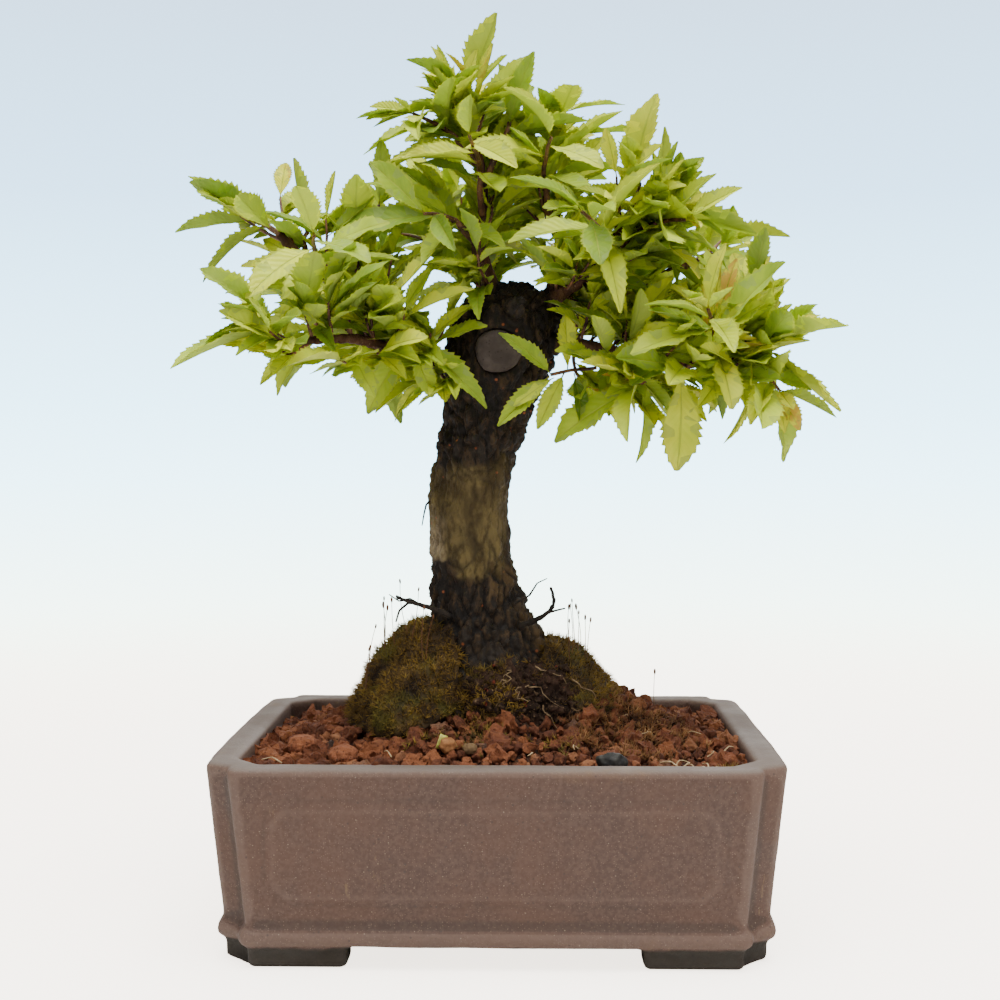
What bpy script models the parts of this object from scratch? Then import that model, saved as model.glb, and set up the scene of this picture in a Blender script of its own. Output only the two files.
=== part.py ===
# Bonsai tree in an unglazed clay pot. The pot stands on its feet at z = 0 with its long side
# along X. It holds drainage screens and their wire clips, a bed of grainy soil, moss, and a
# small deciduous tree with a stout trunk. Units are metres and +Z is up.
import math
import random

import bmesh
import bpy
from mathutils import Matrix, Vector
from mathutils.bvhtree import BVHTree

MM = 0.001
GAP = 0.3 * MM  # clearance kept between pieces that touch

# Pot: notched rectangle in plan, leaning walls, a bead round the foot and four corner feet
POT_WIDTH = 165 * MM
POT_DEPTH = 125 * MM
POT_HEIGHT = 57.5 * MM
RIM_WIDTH = 8.5 * MM
RIM_ROUND = 1.3 * MM
RIM_CHAMFER = 0.8 * MM  # inner edge of the rim
WALL_LEAN = 4.2 * MM  # from the rim in to the bead, on each side
CAVITY_LEAN = 3.0 * MM  # the same on the inside
CAVITY_CHAMFER = 7.8 * MM
FLOOR_THICKNESS = 6.5 * MM
END_BOW = 1.0 * MM  # bulge of the short walls
NOTCH_LONG = 8.0 * MM  # what each corner notch takes off the long side
NOTCH_SHORT = 9.0 * MM
NOTCH_RETURN = 5.5 * MM
NOTCH_SPLAY = 0.6 * MM
CORNER_ROUND = 1.8 * MM
BEAD_HEIGHT = 5.2 * MM
BEAD_REACH = 1.8 * MM
BEAD_TUCK = 0.6 * MM  # underside drawn in behind the wall
BEAD_LIP = 0.3 * MM
FOOT_HEIGHT = 6.2 * MM
FOOT_LENGTH = 36 * MM
FOOT_SIDE_LENGTH = 29 * MM
FOOT_WIDTH = 11 * MM
FOOT_SETBACK = 2.5 * MM  # behind the bead
FOOT_ROUND = 1.2 * MM
PANEL_WIDTH = 127 * MM
PANEL_HEIGHT = 28 * MM
PANEL_MIDDLE = 33.4 * MM  # height of the panel's middle
PANEL_CHAMFER = 4.3 * MM
PANEL_RAISE = 0.55 * MM
PANEL_BEVEL = 0.8 * MM

# Drainage: two holes, each with a plastic screen held by a bent wire
DRAIN_RADIUS = 7.5 * MM
DRAIN_OFFSET = 38 * MM
SCREEN_SIDE = 24 * MM
SCREEN_THICKNESS = 1.2 * MM
SCREEN_CELLS = 4
SCREEN_BAR = 1.1 * MM
CLIP_WIRE = 0.55 * MM  # wire radius
CLIP_HOOK = 3 * MM  # how far each end reaches past the hole's edge, under the pot

# Soil, heaped from just below the rim up to the foot of the trunk
SOIL_BELOW_RIM = 3.6 * MM
SOIL_HEAP = 21 * MM
HEAP_HALF_WIDTH = 43 * MM
HEAP_HALF_DEPTH = 37 * MM
SOIL_DIP = 4.8 * MM  # lower in the back left corner
SOIL_RIPPLE = 0.5 * MM
SOIL_CLEARANCE = 1.4 * GAP  # kept over the bed, whose faces are coarser than the ripple

# Tree, measured from the rim's plane
TRUNK_HEIGHT = 140 * MM
TRUNK_RADIUS = 12.5 * MM  # at the narrowest
TRUNK_DEPTH_RATIO = 0.92
HEAD_SHARE = 0.846  # height of the head, where the branches start and the saw cut is
CROWN_WIDTH = 200 * MM
CROWN_DEPTH = 156 * MM
CROWN_HEIGHT = 105 * MM  # from the trunk's head to the highest leaf
BRANCH_RADIUS = 2.9 * MM
TWIG_RADIUS = 0.95 * MM
TWIG_ROWS = 6
LEAF_LENGTH = 25 * MM
LEAF_TRIES = 12  # directions that a leaf is tried in before it is left out
TWIG_TRIES = 40  # routes that a shoot twig is tried on, each a little wider
LEAF_RATIO = 0.36  # width over length
LEAF_THICKNESS = 0.7 * MM
LEAF_FOLD = 0.42  # rise of each half from the midrib, against its width
LEAF_BEND = 0.16  # drop of the tip, against the length
LEAF_SPACING = 4.6 * MM
LEAVES_LEAST = 6  # on one shoot
LEAVES_MOST = 7
SEAL_WIDTH = 14.6 * MM
SEAL_HEIGHT = 13 * MM
SEAL_THICKNESS = 3.4 * MM
SEAL_SINK = 0.8  # share of the thickness that is let into the trunk
STUB_RADIUS = 3.2 * MM  # the sawn stub beside the seal
STUB_LENGTH = 5.4 * MM
STUB_SHARE = 0.925  # its height on the trunk
STUB_ASIDE = 3.2 * MM
CUSHION_ROOT = 1.5 * MM  # how far a moss cushion's edge dips into the soil

# Trunk stations: share of the height, sideways lean in mm, radius in trunk radii
TRUNK_STATIONS = (
    (-0.02, 0.0, 2.30),
    (0.06, -0.5, 2.18),
    (0.13, -1.4, 1.86),
    (0.20, -3.2, 1.47),
    (0.28, -6.9, 1.19),
    (0.38, -8.7, 1.05),
    (0.50, -9.5, 1.00),
    (0.61, -7.4, 1.02),
    (0.70, -4.2, 1.09),
    (0.79, -1.8, 1.28),
    (0.88, 0.9, 1.44),
    (0.94, 2.2, 1.30),
    (0.985, 3.8, 0.84),
    (1.0, 4.4, 0.40),
)

# Branches: base and end radius in branch radii, then points as shares of the crown's half
# width, half depth and height, from the middle of the trunk's head
BRANCHES = {
    "left_branch": (1.15, 0.50, (
        (-0.06, 0.00, -0.04), (-0.19, -0.03, -0.03), (-0.32, -0.08, 0.07), (-0.48, -0.13, 0.18),
        (-0.61, -0.18, 0.28), (-0.67, -0.20, 0.34))),
    "left_low_branch": (0.92, 0.42, (
        (-0.06, -0.02, -0.03), (-0.20, -0.10, -0.02), (-0.31, -0.20, 0.00), (-0.42, -0.30, 0.03),
        (-0.53, -0.41, 0.02), (-0.61, -0.48, 0.01))),
    "left_back_branch": (0.95, 0.45, (
        (-0.05, 0.04, -0.09), (-0.17, 0.18, -0.10), (-0.30, 0.31, -0.04), (-0.46, 0.44, 0.06),
        (-0.60, 0.52, 0.14))),
    "leader": (0.98, 0.48, (
        (0.00, -0.03, 0.06), (-0.015, -0.07, 0.17), (-0.067, -0.06, 0.32), (-0.058, 0.00, 0.37),
        (-0.050, 0.03, 0.47), (-0.06, 0.03, 0.57), (-0.09, 0.00, 0.68))),
    "top_right_branch": (0.90, 0.45, (
        (0.07, 0.02, 0.08), (0.15, 0.04, 0.17), (0.205, 0.08, 0.30), (0.155, 0.13, 0.43),
        (0.145, 0.16, 0.56))),
    "right_up_branch": (0.90, 0.45, (
        (0.10, -0.02, 0.10), (0.20, -0.08, 0.18), (0.33, -0.13, 0.26), (0.365, -0.16, 0.35),
        (0.42, -0.18, 0.42))),
    "right_low_branch": (1.05, 0.42, (
        (0.08, 0.00, 0.03), (0.19, -0.05, 0.03), (0.30, -0.10, 0.01), (0.45, -0.15, -0.02),
        (0.57, -0.18, -0.04), (0.65, -0.19, -0.02), (0.75, -0.21, -0.01))),
    "right_back_branch": (0.95, 0.45, (
        (0.08, 0.04, 0.05), (0.22, 0.18, 0.10), (0.38, 0.31, 0.18), (0.52, 0.40, 0.26),
        (0.64, 0.46, 0.31))),
    "back_branch": (0.95, 0.45, (
        (0.00, 0.05, 0.08), (-0.05, 0.26, 0.18), (-0.09, 0.44, 0.31), (-0.14, 0.58, 0.43))),
}

# Leafy shoots: branch, share along it, and where the twig ends, in the same shares
SHOOTS = (
    ("leader", 1.00, (-0.13, -0.02, 0.77)),
    ("leader", 0.80, (-0.27, -0.12, 0.70)),
    ("leader", 0.72, (0.03, 0.10, 0.73)),
    ("leader", 0.56, (-0.08, -0.48, 0.58)),
    ("leader", 0.34, (-0.22, -0.36, 0.38)),
    ("top_right_branch", 1.00, (0.20, 0.12, 0.74)),
    ("top_right_branch", 0.70, (0.16, -0.32, 0.60)),
    ("top_right_branch", 0.52, (0.10, 0.46, 0.60)),
    ("right_up_branch", 1.00, (0.40, -0.12, 0.53)),
    ("right_up_branch", 0.80, (0.55, 0.06, 0.43)),
    ("right_up_branch", 0.58, (0.56, -0.36, 0.36)),
    ("right_up_branch", 0.40, (0.24, -0.58, 0.36)),
    ("right_back_branch", 1.00, (0.76, 0.52, 0.40)),
    ("right_back_branch", 0.72, (0.72, 0.22, 0.33)),
    ("right_back_branch", 0.60, (0.36, 0.62, 0.26)),
    ("right_back_branch", 0.46, (0.46, 0.30, 0.48)),
    ("right_low_branch", 1.00, (0.86, -0.24, 0.04)),
    ("right_low_branch", 0.84, (0.78, -0.14, 0.18)),
    ("right_low_branch", 0.90, (0.84, -0.34, -0.12)),
    ("right_low_branch", 0.68, (0.60, -0.58, 0.10)),
    ("right_low_branch", 0.55, (0.62, -0.40, 0.00)),
    ("right_low_branch", 0.34, (0.40, -0.34, -0.09)),
    ("left_branch", 1.00, (-0.75, -0.18, 0.38)),
    ("left_branch", 0.76, (-0.57, -0.02, 0.40)),
    ("left_branch", 0.52, (-0.38, 0.06, 0.46)),
    ("left_branch", 0.60, (-0.52, -0.56, 0.30)),
    ("left_low_branch", 1.00, (-0.69, -0.52, 0.10)),
    ("left_low_branch", 0.72, (-0.56, -0.34, 0.04)),
    ("left_back_branch", 1.00, (-0.76, 0.56, 0.24)),
    ("left_back_branch", 0.66, (-0.38, 0.60, 0.02)),
    ("back_branch", 1.00, (-0.20, 0.66, 0.58)),
    ("back_branch", 0.60, (-0.36, 0.50, 0.42)),
)

# Moss cushions: middle and half sizes in plan, then height over the soil, all in mm
MOSS_CUSHIONS = {
    "moss_mound_left": ((-24, -2), (25, 29), 23),
    "moss_mound_right": ((21, 1), (17, 25), 15),
    "moss_dry_patch": ((38, -31), (16, 14), 5),
}

# Loose stones on the soil: place in plan and half sizes in mm
STONES = {
    "pebble_pale_1": ((-14, -42), (3.1, 2.6, 2.4)),
    "pebble_pale_2": ((-7.5, -44), (2.3, 2.2, 1.9)),
    "charcoal_lump": ((33, -50.5), (4.6, 3.0, 3.0)),
    "lava_grain_1": ((-44, -44), (4.8, 4.1, 3.6)),
    "lava_grain_2": ((-58, -30), (4.4, 4.7, 3.4)),
}

# Dead twigs at the foot of the trunk: points in mm from the trunk's axis at the rim's plane
DEAD_TWIG_RADIUS = 1.1 * MM
DEAD_TWIGS = {
    "dead_twig_left": ((-4, -6, 31), (-19, -14, 39), (-27, -19, 42), (-31, -21, 44)),
    "dead_twig_right": ((-2, -6, 30), (12, -13, 36), (17, -17, 41), (16, -18, 46.5)),
}

COLOURS = {
    "clay": ((0.155, 0.110, 0.083), 0.85, 0.0),
    "screen_plastic": ((0.02, 0.02, 0.02), 0.6, 0.0),
    "clip_wire": ((0.55, 0.36, 0.22), 0.4, 1.0),
    "soil": ((0.22, 0.075, 0.035), 0.95, 0.0),
    "moss": ((0.10, 0.13, 0.03), 0.95, 0.0),
    "moss_dry": ((0.20, 0.12, 0.05), 0.95, 0.0),
    "pale_stone": ((0.60, 0.52, 0.30), 0.8, 0.0),
    "charcoal": ((0.02, 0.02, 0.02), 0.8, 0.0),
    "lava_stone": ((0.26, 0.09, 0.05), 0.95, 0.0),
    "bark": ((0.035, 0.026, 0.018), 0.9, 0.0),
    "branch_bark": ((0.09, 0.032, 0.016), 0.7, 0.0),
    "dead_wood": ((0.012, 0.010, 0.009), 0.85, 0.0),
    "wound_putty": ((0.20, 0.17, 0.14), 0.8, 0.0),
    "leaf": ((0.24, 0.38, 0.05), 0.5, 0.0),
}

WALL_FOOT = FOOT_HEIGHT + BEAD_HEIGHT  # where the leaning wall meets the bead
FLOOR_TOP = FOOT_HEIGHT + FLOOR_THICKNESS
TREE_AXIS = Vector((0.0, 0.0, POT_HEIGHT))
HEAD = TREE_AXIS + Vector((0.0, 0.0, HEAD_SHARE * TRUNK_HEIGHT))


def clear_scene():
    for item in list(bpy.data.objects):
        bpy.data.objects.remove(item, do_unlink=True)


# ---- Shared modelling helpers

def material(name):
    found = bpy.data.materials.get(name)
    if found:
        return found
    colour, roughness, metallic = COLOURS[name]
    made = bpy.data.materials.new(name)
    made.use_nodes = True
    shader = made.node_tree.nodes["Principled BSDF"]
    shader.inputs["Base Color"].default_value = (*colour, 1.0)
    shader.inputs["Roughness"].default_value = roughness
    shader.inputs["Metallic"].default_value = metallic
    return made


def to_object(name, shape, surface=None):
    bmesh.ops.recalc_face_normals(shape, faces=shape.faces)
    mesh = bpy.data.meshes.new(name)
    shape.to_mesh(mesh)
    shape.free()
    made = bpy.data.objects.new(name, mesh)
    bpy.context.collection.objects.link(made)
    if surface:
        mesh.materials.append(material(surface))
    return made


def combine(target, tool, operation, overlapping=False):
    cut = target.modifiers.new(operation.lower(), "BOOLEAN")
    cut.operation = operation
    cut.solver = "EXACT"
    cut.object = tool
    cut.use_self = overlapping
    graph = bpy.context.evaluated_depsgraph_get()
    result = bpy.data.meshes.new_from_object(target.evaluated_get(graph))
    target.modifiers.remove(cut)
    slots = list(target.data.materials)
    target.data = result
    result.materials.clear()
    for slot in slots[:1]:
        result.materials.append(slot)
    for face in result.polygons:
        face.material_index = 0
    bpy.data.objects.remove(tool, do_unlink=True)


def finish_mesh(item, angle=35):
    shape = bmesh.new()
    shape.from_mesh(item.data)
    bmesh.ops.dissolve_degenerate(shape, dist=0.001 * MM, edges=shape.edges)
    shape.to_mesh(item.data)
    shape.free()
    item.data.shade_smooth()
    item.data.set_sharp_from_angle(angle=math.radians(angle))


def loft(rings):
    # Closed solid through rings with equal numbers of points, with flat caps. The sides are
    # triangles, so that a grown copy of a bent surface has its creases in the same places
    shape = bmesh.new()
    rows = [[shape.verts.new(point) for point in ring] for ring in rings]
    for lower, upper in zip(rows, rows[1:]):
        for k in range(len(lower)):
            after = (k + 1) % len(lower)
            shape.faces.new((lower[k], lower[after], upper[after]))
            shape.faces.new((lower[k], upper[after], upper[k]))
    shape.faces.new(rows[0][::-1])
    shape.faces.new(rows[-1])
    return shape


def dome(rings, peak):
    # Closed solid: a flat cap under the first ring and a fan up to the peak after the last
    shape = loft(rings)
    shape.faces.ensure_lookup_table()
    top = shape.faces[-1]
    centre = shape.verts.new(peak)
    border = list(top.verts)
    bmesh.ops.delete(shape, geom=[top], context="FACES_ONLY")
    for k in range(len(border)):
        shape.faces.new((border[k], border[(k + 1) % len(border)], centre))
    return shape


def catmull(points, share):
    # The point at a share, 0 to 1, along a smooth curve through the points
    spans = len(points) - 1
    place = min(max(share, 0.0), 1.0) * spans
    k = min(int(place), spans - 1)
    s = place - k
    before = points[max(k - 1, 0)]
    start = points[k]
    end = points[k + 1]
    after = points[min(k + 2, spans)]
    linear = (end - before) * s
    square = (2 * before - 5 * start + 4 * end - after) * s * s
    cube = (3 * start - before - 3 * end + after) * s ** 3
    return 0.5 * (2 * start + linear + square + cube)


def tube(path, radii, sides, grow=0.0):
    # Closed round rod along a path, with one radius for each point
    tangents = []
    for k in range(len(path)):
        ahead = path[min(k + 1, len(path) - 1)]
        behind = path[max(k - 1, 0)]
        tangents.append((ahead - behind).normalized())
    places = list(path)
    places[0] = path[0] - tangents[0] * grow
    places[-1] = path[-1] + tangents[-1] * grow
    side = tangents[0].orthogonal().normalized()
    rings = []
    for place, tangent, radius in zip(places, tangents, radii):
        side = (side - tangent * side.dot(tangent)).normalized()
        across = tangent.cross(side)
        ring = []
        for k in range(sides):
            angle = math.tau * k / sides
            offset = side * math.cos(angle) + across * math.sin(angle)
            ring.append(place + offset * (radius + grow))
        rings.append(ring)
    return loft(rings)


def bvh_of(item):
    shape = bmesh.new()
    shape.from_mesh(item.data)
    tree = BVHTree.FromBMesh(shape)
    shape.free()
    return tree


# ---- Pot

def soften(corners, radii, steps):
    # Closed outline with each corner turned into a short curve
    outline = []
    count = len(corners)
    for k in range(count):
        here = Vector(corners[k])
        before = Vector(corners[k - 1]) - here
        after = Vector(corners[(k + 1) % count]) - here
        reach = min(radii[k], before.length * 0.45, after.length * 0.45)
        if reach <= 0.0:
            outline.append(here)
            continue
        first = here + before.normalized() * reach
        last = here + after.normalized() * reach
        for n in range(steps):
            s = n / (steps - 1)
            outline.append(first * (1 - s) ** 2 + here * 2 * s * (1 - s) + last * s * s)
    return outline


def pot_corner(inset, right, back):
    # Three corners of one notch, from the long side round to the short side
    x = POT_WIDTH / 2 - inset
    y = POT_DEPTH / 2 - inset
    notch = (
        (x - NOTCH_LONG, y),
        (x - NOTCH_LONG + NOTCH_SPLAY, y - NOTCH_RETURN),
        (x, y - NOTCH_SHORT),
    )
    return [(px * right, py * back) for px, py in notch]


def pot_outline(inset):
    # The notched plan, anticlockwise from the front right corner, with bowed short ends
    corners = []
    radii = []
    turn = (CORNER_ROUND, CORNER_ROUND * 0.6, CORNER_ROUND)
    for right, back in ((1, -1), (1, 1), (-1, 1), (-1, -1)):
        notch = pot_corner(inset, right, back)
        if right == back:
            notch.reverse()
        corners += notch
        radii += turn
        if right != back:
            for s in (-0.5, 0.0, 0.5):
                x = POT_WIDTH / 2 - inset + END_BOW * (1 - s * s)
                corners.append((x * right, s * right * POT_DEPTH / 2))
                radii.append(0.0)
    return soften(corners, radii, 3)


def raise_outline(outline, z):
    return [Vector((point.x, point.y, z)) for point in outline]


def wall_inset(z):
    return WALL_LEAN * (POT_HEIGHT - z) / (POT_HEIGHT - WALL_FOOT)


def cavity_outline(z, gap=0.0):
    # Plain rectangle with chamfered corners, narrowing down to the pot's floor
    share = (POT_HEIGHT - z) / (POT_HEIGHT - FLOOR_TOP)
    inset = RIM_WIDTH + CAVITY_LEAN * share + gap
    x = POT_WIDTH / 2 - inset
    y = POT_DEPTH / 2 - inset
    cut = CAVITY_CHAMFER - gap * (2 - math.sqrt(2))
    return [Vector(point) for point in (
        (x, -y + cut), (x, y - cut), (x - cut, y), (-x + cut, y),
        (-x, y - cut), (-x, -y + cut), (-x + cut, -y), (x - cut, -y))]


def pot_body():
    rings = []
    bead_steps = 6
    rings.append(raise_outline(pot_outline(WALL_LEAN + BEAD_TUCK), FOOT_HEIGHT))
    for k in range(bead_steps + 1):
        angle = math.pi * k / bead_steps
        inset = WALL_LEAN - BEAD_REACH * math.sin(angle)
        z = FOOT_HEIGHT + BEAD_LIP + (BEAD_HEIGHT - BEAD_LIP) * (1 - math.cos(angle)) / 2
        rings.append(raise_outline(pot_outline(inset), z))
    for k in range(4):
        angle = math.pi / 2 * k / 3
        inset = wall_inset(POT_HEIGHT - RIM_ROUND) + RIM_ROUND * (1 - math.cos(angle))
        z = POT_HEIGHT - RIM_ROUND * (1 - math.sin(angle))
        rings.append(raise_outline(pot_outline(inset), z))
    return to_object("pot", loft(rings), "clay")


def pot_cavity():
    above = 2 * MM
    rings = []
    stations = (
        (FLOOR_TOP, 0.0),
        (POT_HEIGHT - RIM_CHAMFER, 0.0),
        (POT_HEIGHT + above, RIM_CHAMFER + above),
    )
    for z, widen in stations:
        rings.append(raise_outline(cavity_outline(z, -widen), z))
    return to_object("cavity", loft(rings))


def pot_foot(right, back):
    # L-shaped foot that follows the notched corner, set back behind the bead
    inset = WALL_LEAN - BEAD_REACH + FOOT_SETBACK
    x = (POT_WIDTH / 2 - inset) * right
    y = (POT_DEPTH / 2 - inset) * back
    outline = [(x - FOOT_LENGTH * right, y)]
    outline += pot_corner(inset, right, back)
    outline.append((x, y - FOOT_SIDE_LENGTH * back))
    outline.append((x - FOOT_WIDTH * right, y - FOOT_SIDE_LENGTH * back))
    outline.append((x - FOOT_WIDTH * right, y - FOOT_WIDTH * back))
    outline.append((x - FOOT_LENGTH * right, y - FOOT_WIDTH * back))
    top = FOOT_HEIGHT + FLOOR_THICKNESS / 2
    shape = loft([[Vector((px, py, z)) for px, py in outline] for z in (0.0, top)])
    sole = [edge for edge in shape.edges if max(vert.co.z for vert in edge.verts) == 0.0]
    bmesh.ops.bevel(shape, geom=sole, offset=FOOT_ROUND, segments=2, affect="EDGES", profile=0.5)
    return to_object("foot", shape)


def pot_panel(back):
    # Raised panel with cut corners on a long wall, lying along the wall's lean
    rings = []
    for inset, out in ((0.0, -1.2 * MM), (0.0, 0.05 * MM), (PANEL_BEVEL, PANEL_RAISE)):
        x = PANEL_WIDTH / 2 - inset
        h = PANEL_HEIGHT / 2 - inset
        cut = PANEL_CHAMFER - inset * (2 - math.sqrt(2))
        ring = []
        for px, pz in ((x, -h + cut), (x, h - cut), (x - cut, h), (-x + cut, h),
                       (-x, h - cut), (-x, -h + cut), (-x + cut, -h), (x - cut, -h)):
            z = PANEL_MIDDLE + pz
            y = POT_DEPTH / 2 - wall_inset(z) + out
            ring.append(Vector((px, y * back, z)))
        rings.append(ring)
    return to_object("panel", loft(rings))


def drain_cutter(side):
    # Through the floor only
    reach = 2 * MM
    rings = []
    for z in (FOOT_HEIGHT - reach, FLOOR_TOP + reach):
        ring = []
        for k in range(20):
            angle = math.tau * k / 20
            x = side * DRAIN_OFFSET + DRAIN_RADIUS * math.cos(angle)
            ring.append(Vector((x, DRAIN_RADIUS * math.sin(angle), z)))
        rings.append(ring)
    return to_object("drain", loft(rings))


def make_pot():
    pot = pot_body()
    combine(pot, pot_cavity(), "DIFFERENCE")
    for back in (-1, 1):
        combine(pot, pot_panel(back), "UNION")
        for right in (-1, 1):
            combine(pot, pot_foot(right, back), "UNION")
    for side in (-1, 1):
        combine(pot, drain_cutter(side), "DIFFERENCE")
    finish_mesh(pot, 30)
    return pot


# ---- Drainage screens and clips

def box(size, centre):
    shape = bmesh.new()
    bmesh.ops.create_cube(shape, size=1.0)
    place = Matrix.Translation(centre) @ Matrix.Diagonal((*size, 1.0))
    bmesh.ops.transform(shape, matrix=place, verts=shape.verts)
    return shape


def screen_height():
    return FLOOR_TOP + GAP + SCREEN_THICKNESS / 2


def cell_pitch():
    return (SCREEN_SIDE - SCREEN_BAR) / SCREEN_CELLS


def cell_middle(index):
    # Distance of a row or column of cells from the screen's middle
    return (index - (SCREEN_CELLS - 1) / 2) * cell_pitch()


def make_screen(name, side):
    centre = Vector((side * DRAIN_OFFSET, 0.0, screen_height()))
    screen = to_object(name, box((SCREEN_SIDE, SCREEN_SIDE, SCREEN_THICKNESS), centre),
                       "screen_plastic")
    opening = cell_pitch() - SCREEN_BAR
    cells = bmesh.new()
    for row in range(SCREEN_CELLS):
        for column in range(SCREEN_CELLS):
            cube = bmesh.ops.create_cube(cells, size=1.0)
            offset = Vector((cell_middle(column), cell_middle(row), 0.0))
            place = Matrix.Translation(centre + offset)
            place = place @ Matrix.Diagonal((opening, opening, SCREEN_THICKNESS * 3, 1.0))
            bmesh.ops.transform(cells, matrix=place, verts=cube["verts"])
    combine(screen, to_object("cells", cells), "DIFFERENCE")
    finish_mesh(screen)
    return screen


def clip_top():
    return screen_height() + SCREEN_THICKNESS / 2 + GAP + CLIP_WIRE


def make_clip(name, side):
    # A staple through two of the screen's cells, its ends turned out below the floor
    leg = -cell_middle((SCREEN_CELLS - 2) // 2)
    row = cell_middle((SCREEN_CELLS - 1) // 2)
    top = clip_top()
    low = FOOT_HEIGHT - GAP - CLIP_WIRE
    turn = 0.8 * MM
    half = [
        (leg - turn * 0.7, top),
        (leg, top - turn),
        (leg, low + turn),
        (leg + turn * 0.4, low + turn * 0.3),
        (leg + turn, low),
        (DRAIN_RADIUS + CLIP_HOOK, low),
    ]
    path = [Vector((side * DRAIN_OFFSET - x, row, z)) for x, z in half[::-1]]
    path += [Vector((side * DRAIN_OFFSET + x, row, z)) for x, z in half]
    clip = to_object(name, tube(path, [CLIP_WIRE] * len(path), 6), "clip_wire")
    finish_mesh(clip, 50)
    return clip


def drainage_room(side):
    # Space that the soil leaves over one screen and its clip
    height = clip_top() + CLIP_WIRE + GAP - FLOOR_TOP
    size = (SCREEN_SIDE + 2 * GAP, SCREEN_SIDE + 2 * GAP, height * 2)
    return to_object("room", box(size, Vector((side * DRAIN_OFFSET, 0.0, FLOOR_TOP))))


# ---- Soil

def soil_level(x, y):
    edge = POT_HEIGHT - SOIL_BELOW_RIM
    heap = SOIL_HEAP * math.exp(-(x / HEAP_HALF_WIDTH) ** 2 - (y / HEAP_HALF_DEPTH) ** 2)
    left = max(0.0, -x) / (POT_WIDTH / 2)
    back = max(0.0, y) / (POT_DEPTH / 2)
    ripple = SOIL_RIPPLE * math.sin(x / (6 * MM)) * math.sin(y / (7 * MM) + 1)
    return edge + heap - SOIL_DIP * left * back + ripple


def cavity_point(side, share, z, gap):
    # A point of the cavity's wall: which of its eight sides, and the share along that side
    corners = cavity_outline(z, gap)
    return corners[side].lerp(corners[(side + 1) % len(corners)], share)


def soil_edge():
    # Places round the cavity's wall, about evenly spaced, each as a side and a share along it
    divisions = (6, 1, 8, 1, 6, 1, 8, 1)
    return [(side, n / count) for side, count in enumerate(divisions) for n in range(count)]


def soil_solid(name, lift=0.0, surface=None):
    foot = []
    edge = []
    for side, share in soil_edge():
        low = cavity_point(side, share, FLOOR_TOP + GAP, GAP)
        foot.append(Vector((low.x, low.y, FLOOR_TOP + GAP)))
        z = POT_HEIGHT - SOIL_BELOW_RIM
        for _ in range(4):
            point = cavity_point(side, share, z, GAP)
            z = soil_level(point.x, point.y)
        edge.append(point)
    rings = [foot]
    for s in (1.0, 0.93, 0.82, 0.70, 0.58, 0.46, 0.34, 0.22, 0.11):
        ring = []
        for p in edge:
            x = p.x * s
            y = p.y * s
            ring.append(Vector((x, y, soil_level(x, y) + lift)))
        rings.append(ring)
    peak = Vector((0.0, 0.0, soil_level(0.0, 0.0) + lift))
    return to_object(name, dome(rings, peak), surface)


def make_soil():
    soil = soil_solid("soil_bed", 0.0, "soil")
    for side in (-1, 1):
        combine(soil, drainage_room(side), "DIFFERENCE")
    combine(soil, trunk_solid("trunk_room", GAP), "DIFFERENCE")
    finish_mesh(soil)
    return soil


# ---- Trunk

def trunk_place(share):
    # Middle and radius of the trunk at a share of its height
    stations = [Vector(station) for station in TRUNK_STATIONS]
    low = 0.0
    high = 1.0
    for _ in range(24):
        middle = (low + high) / 2
        if catmull(stations, middle).x < share:
            low = middle
        else:
            high = middle
    found = catmull(stations, (low + high) / 2)
    centre = TREE_AXIS + Vector((found.y * MM, 0.0, share * TRUNK_HEIGHT))
    return centre, found.z * TRUNK_RADIUS


def trunk_swell(angle, share):
    # Ridges and roots: strong lobes at the foot, gentle ones above
    root = max(0.0, 1.0 - share / 0.22)
    lobes = 0.10 * root * math.cos(4 * angle + 0.6)
    ridges = 0.035 * math.sin(3 * angle + 9 * share) + 0.025 * math.sin(5 * angle - 14 * share)
    return 1.0 + lobes + ridges


def trunk_solid(name, grow=0.0, surface=None):
    sides = 16
    rows = 20
    first = TRUNK_STATIONS[0][0]
    rings = []
    for row in range(rows):
        s = row / (rows - 1)
        share = first + (1.0 - first) * (1 - (1 - s) ** 1.35)
        centre, radius = trunk_place(share)
        ring = []
        for k in range(sides):
            angle = math.tau * k / sides
            reach = radius * trunk_swell(angle, share) + grow
            ring.append(centre + Vector((
                reach * math.cos(angle), reach * TRUNK_DEPTH_RATIO * math.sin(angle), 0.0)))
        rings.append(ring)
    for ring, side in ((rings[0], -1), (rings[-1], 1)):
        for point in ring:
            point.z += grow * side
    return to_object(name, loft(rings), surface)


def head_front(share):
    # The trunk's front face at a share of its height
    centre, radius = trunk_place(share)
    return centre + Vector((0.0, -radius * TRUNK_DEPTH_RATIO, 0.0))


def seal_solid(name, grow=0.0, surface=None):
    # Rounded patch of putty over a saw cut, flush at its top and proud at its rim
    back_y = head_front(HEAD_SHARE).y + SEAL_THICKNESS * SEAL_SINK + grow
    rings = []
    for depth, size in ((0.0, 0.93), (0.25, 1.0), (0.72, 1.0), (0.93, 0.90), (1.0, 0.66)):
        y = back_y - (SEAL_THICKNESS + 2 * grow) * depth
        ring = []
        for k in range(20):
            angle = math.tau * k / 20
            wobble = 1 + 0.035 * math.sin(3 * angle + 1) + 0.02 * math.sin(5 * angle)
            x = (SEAL_WIDTH / 2 * size * wobble + grow) * math.cos(angle)
            z = (SEAL_HEIGHT / 2 * size * wobble + grow) * math.sin(angle)
            ring.append(Vector((x, y, HEAD.z + z)))
        rings.append(ring)
    return to_object(name, loft(rings), surface)


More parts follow.
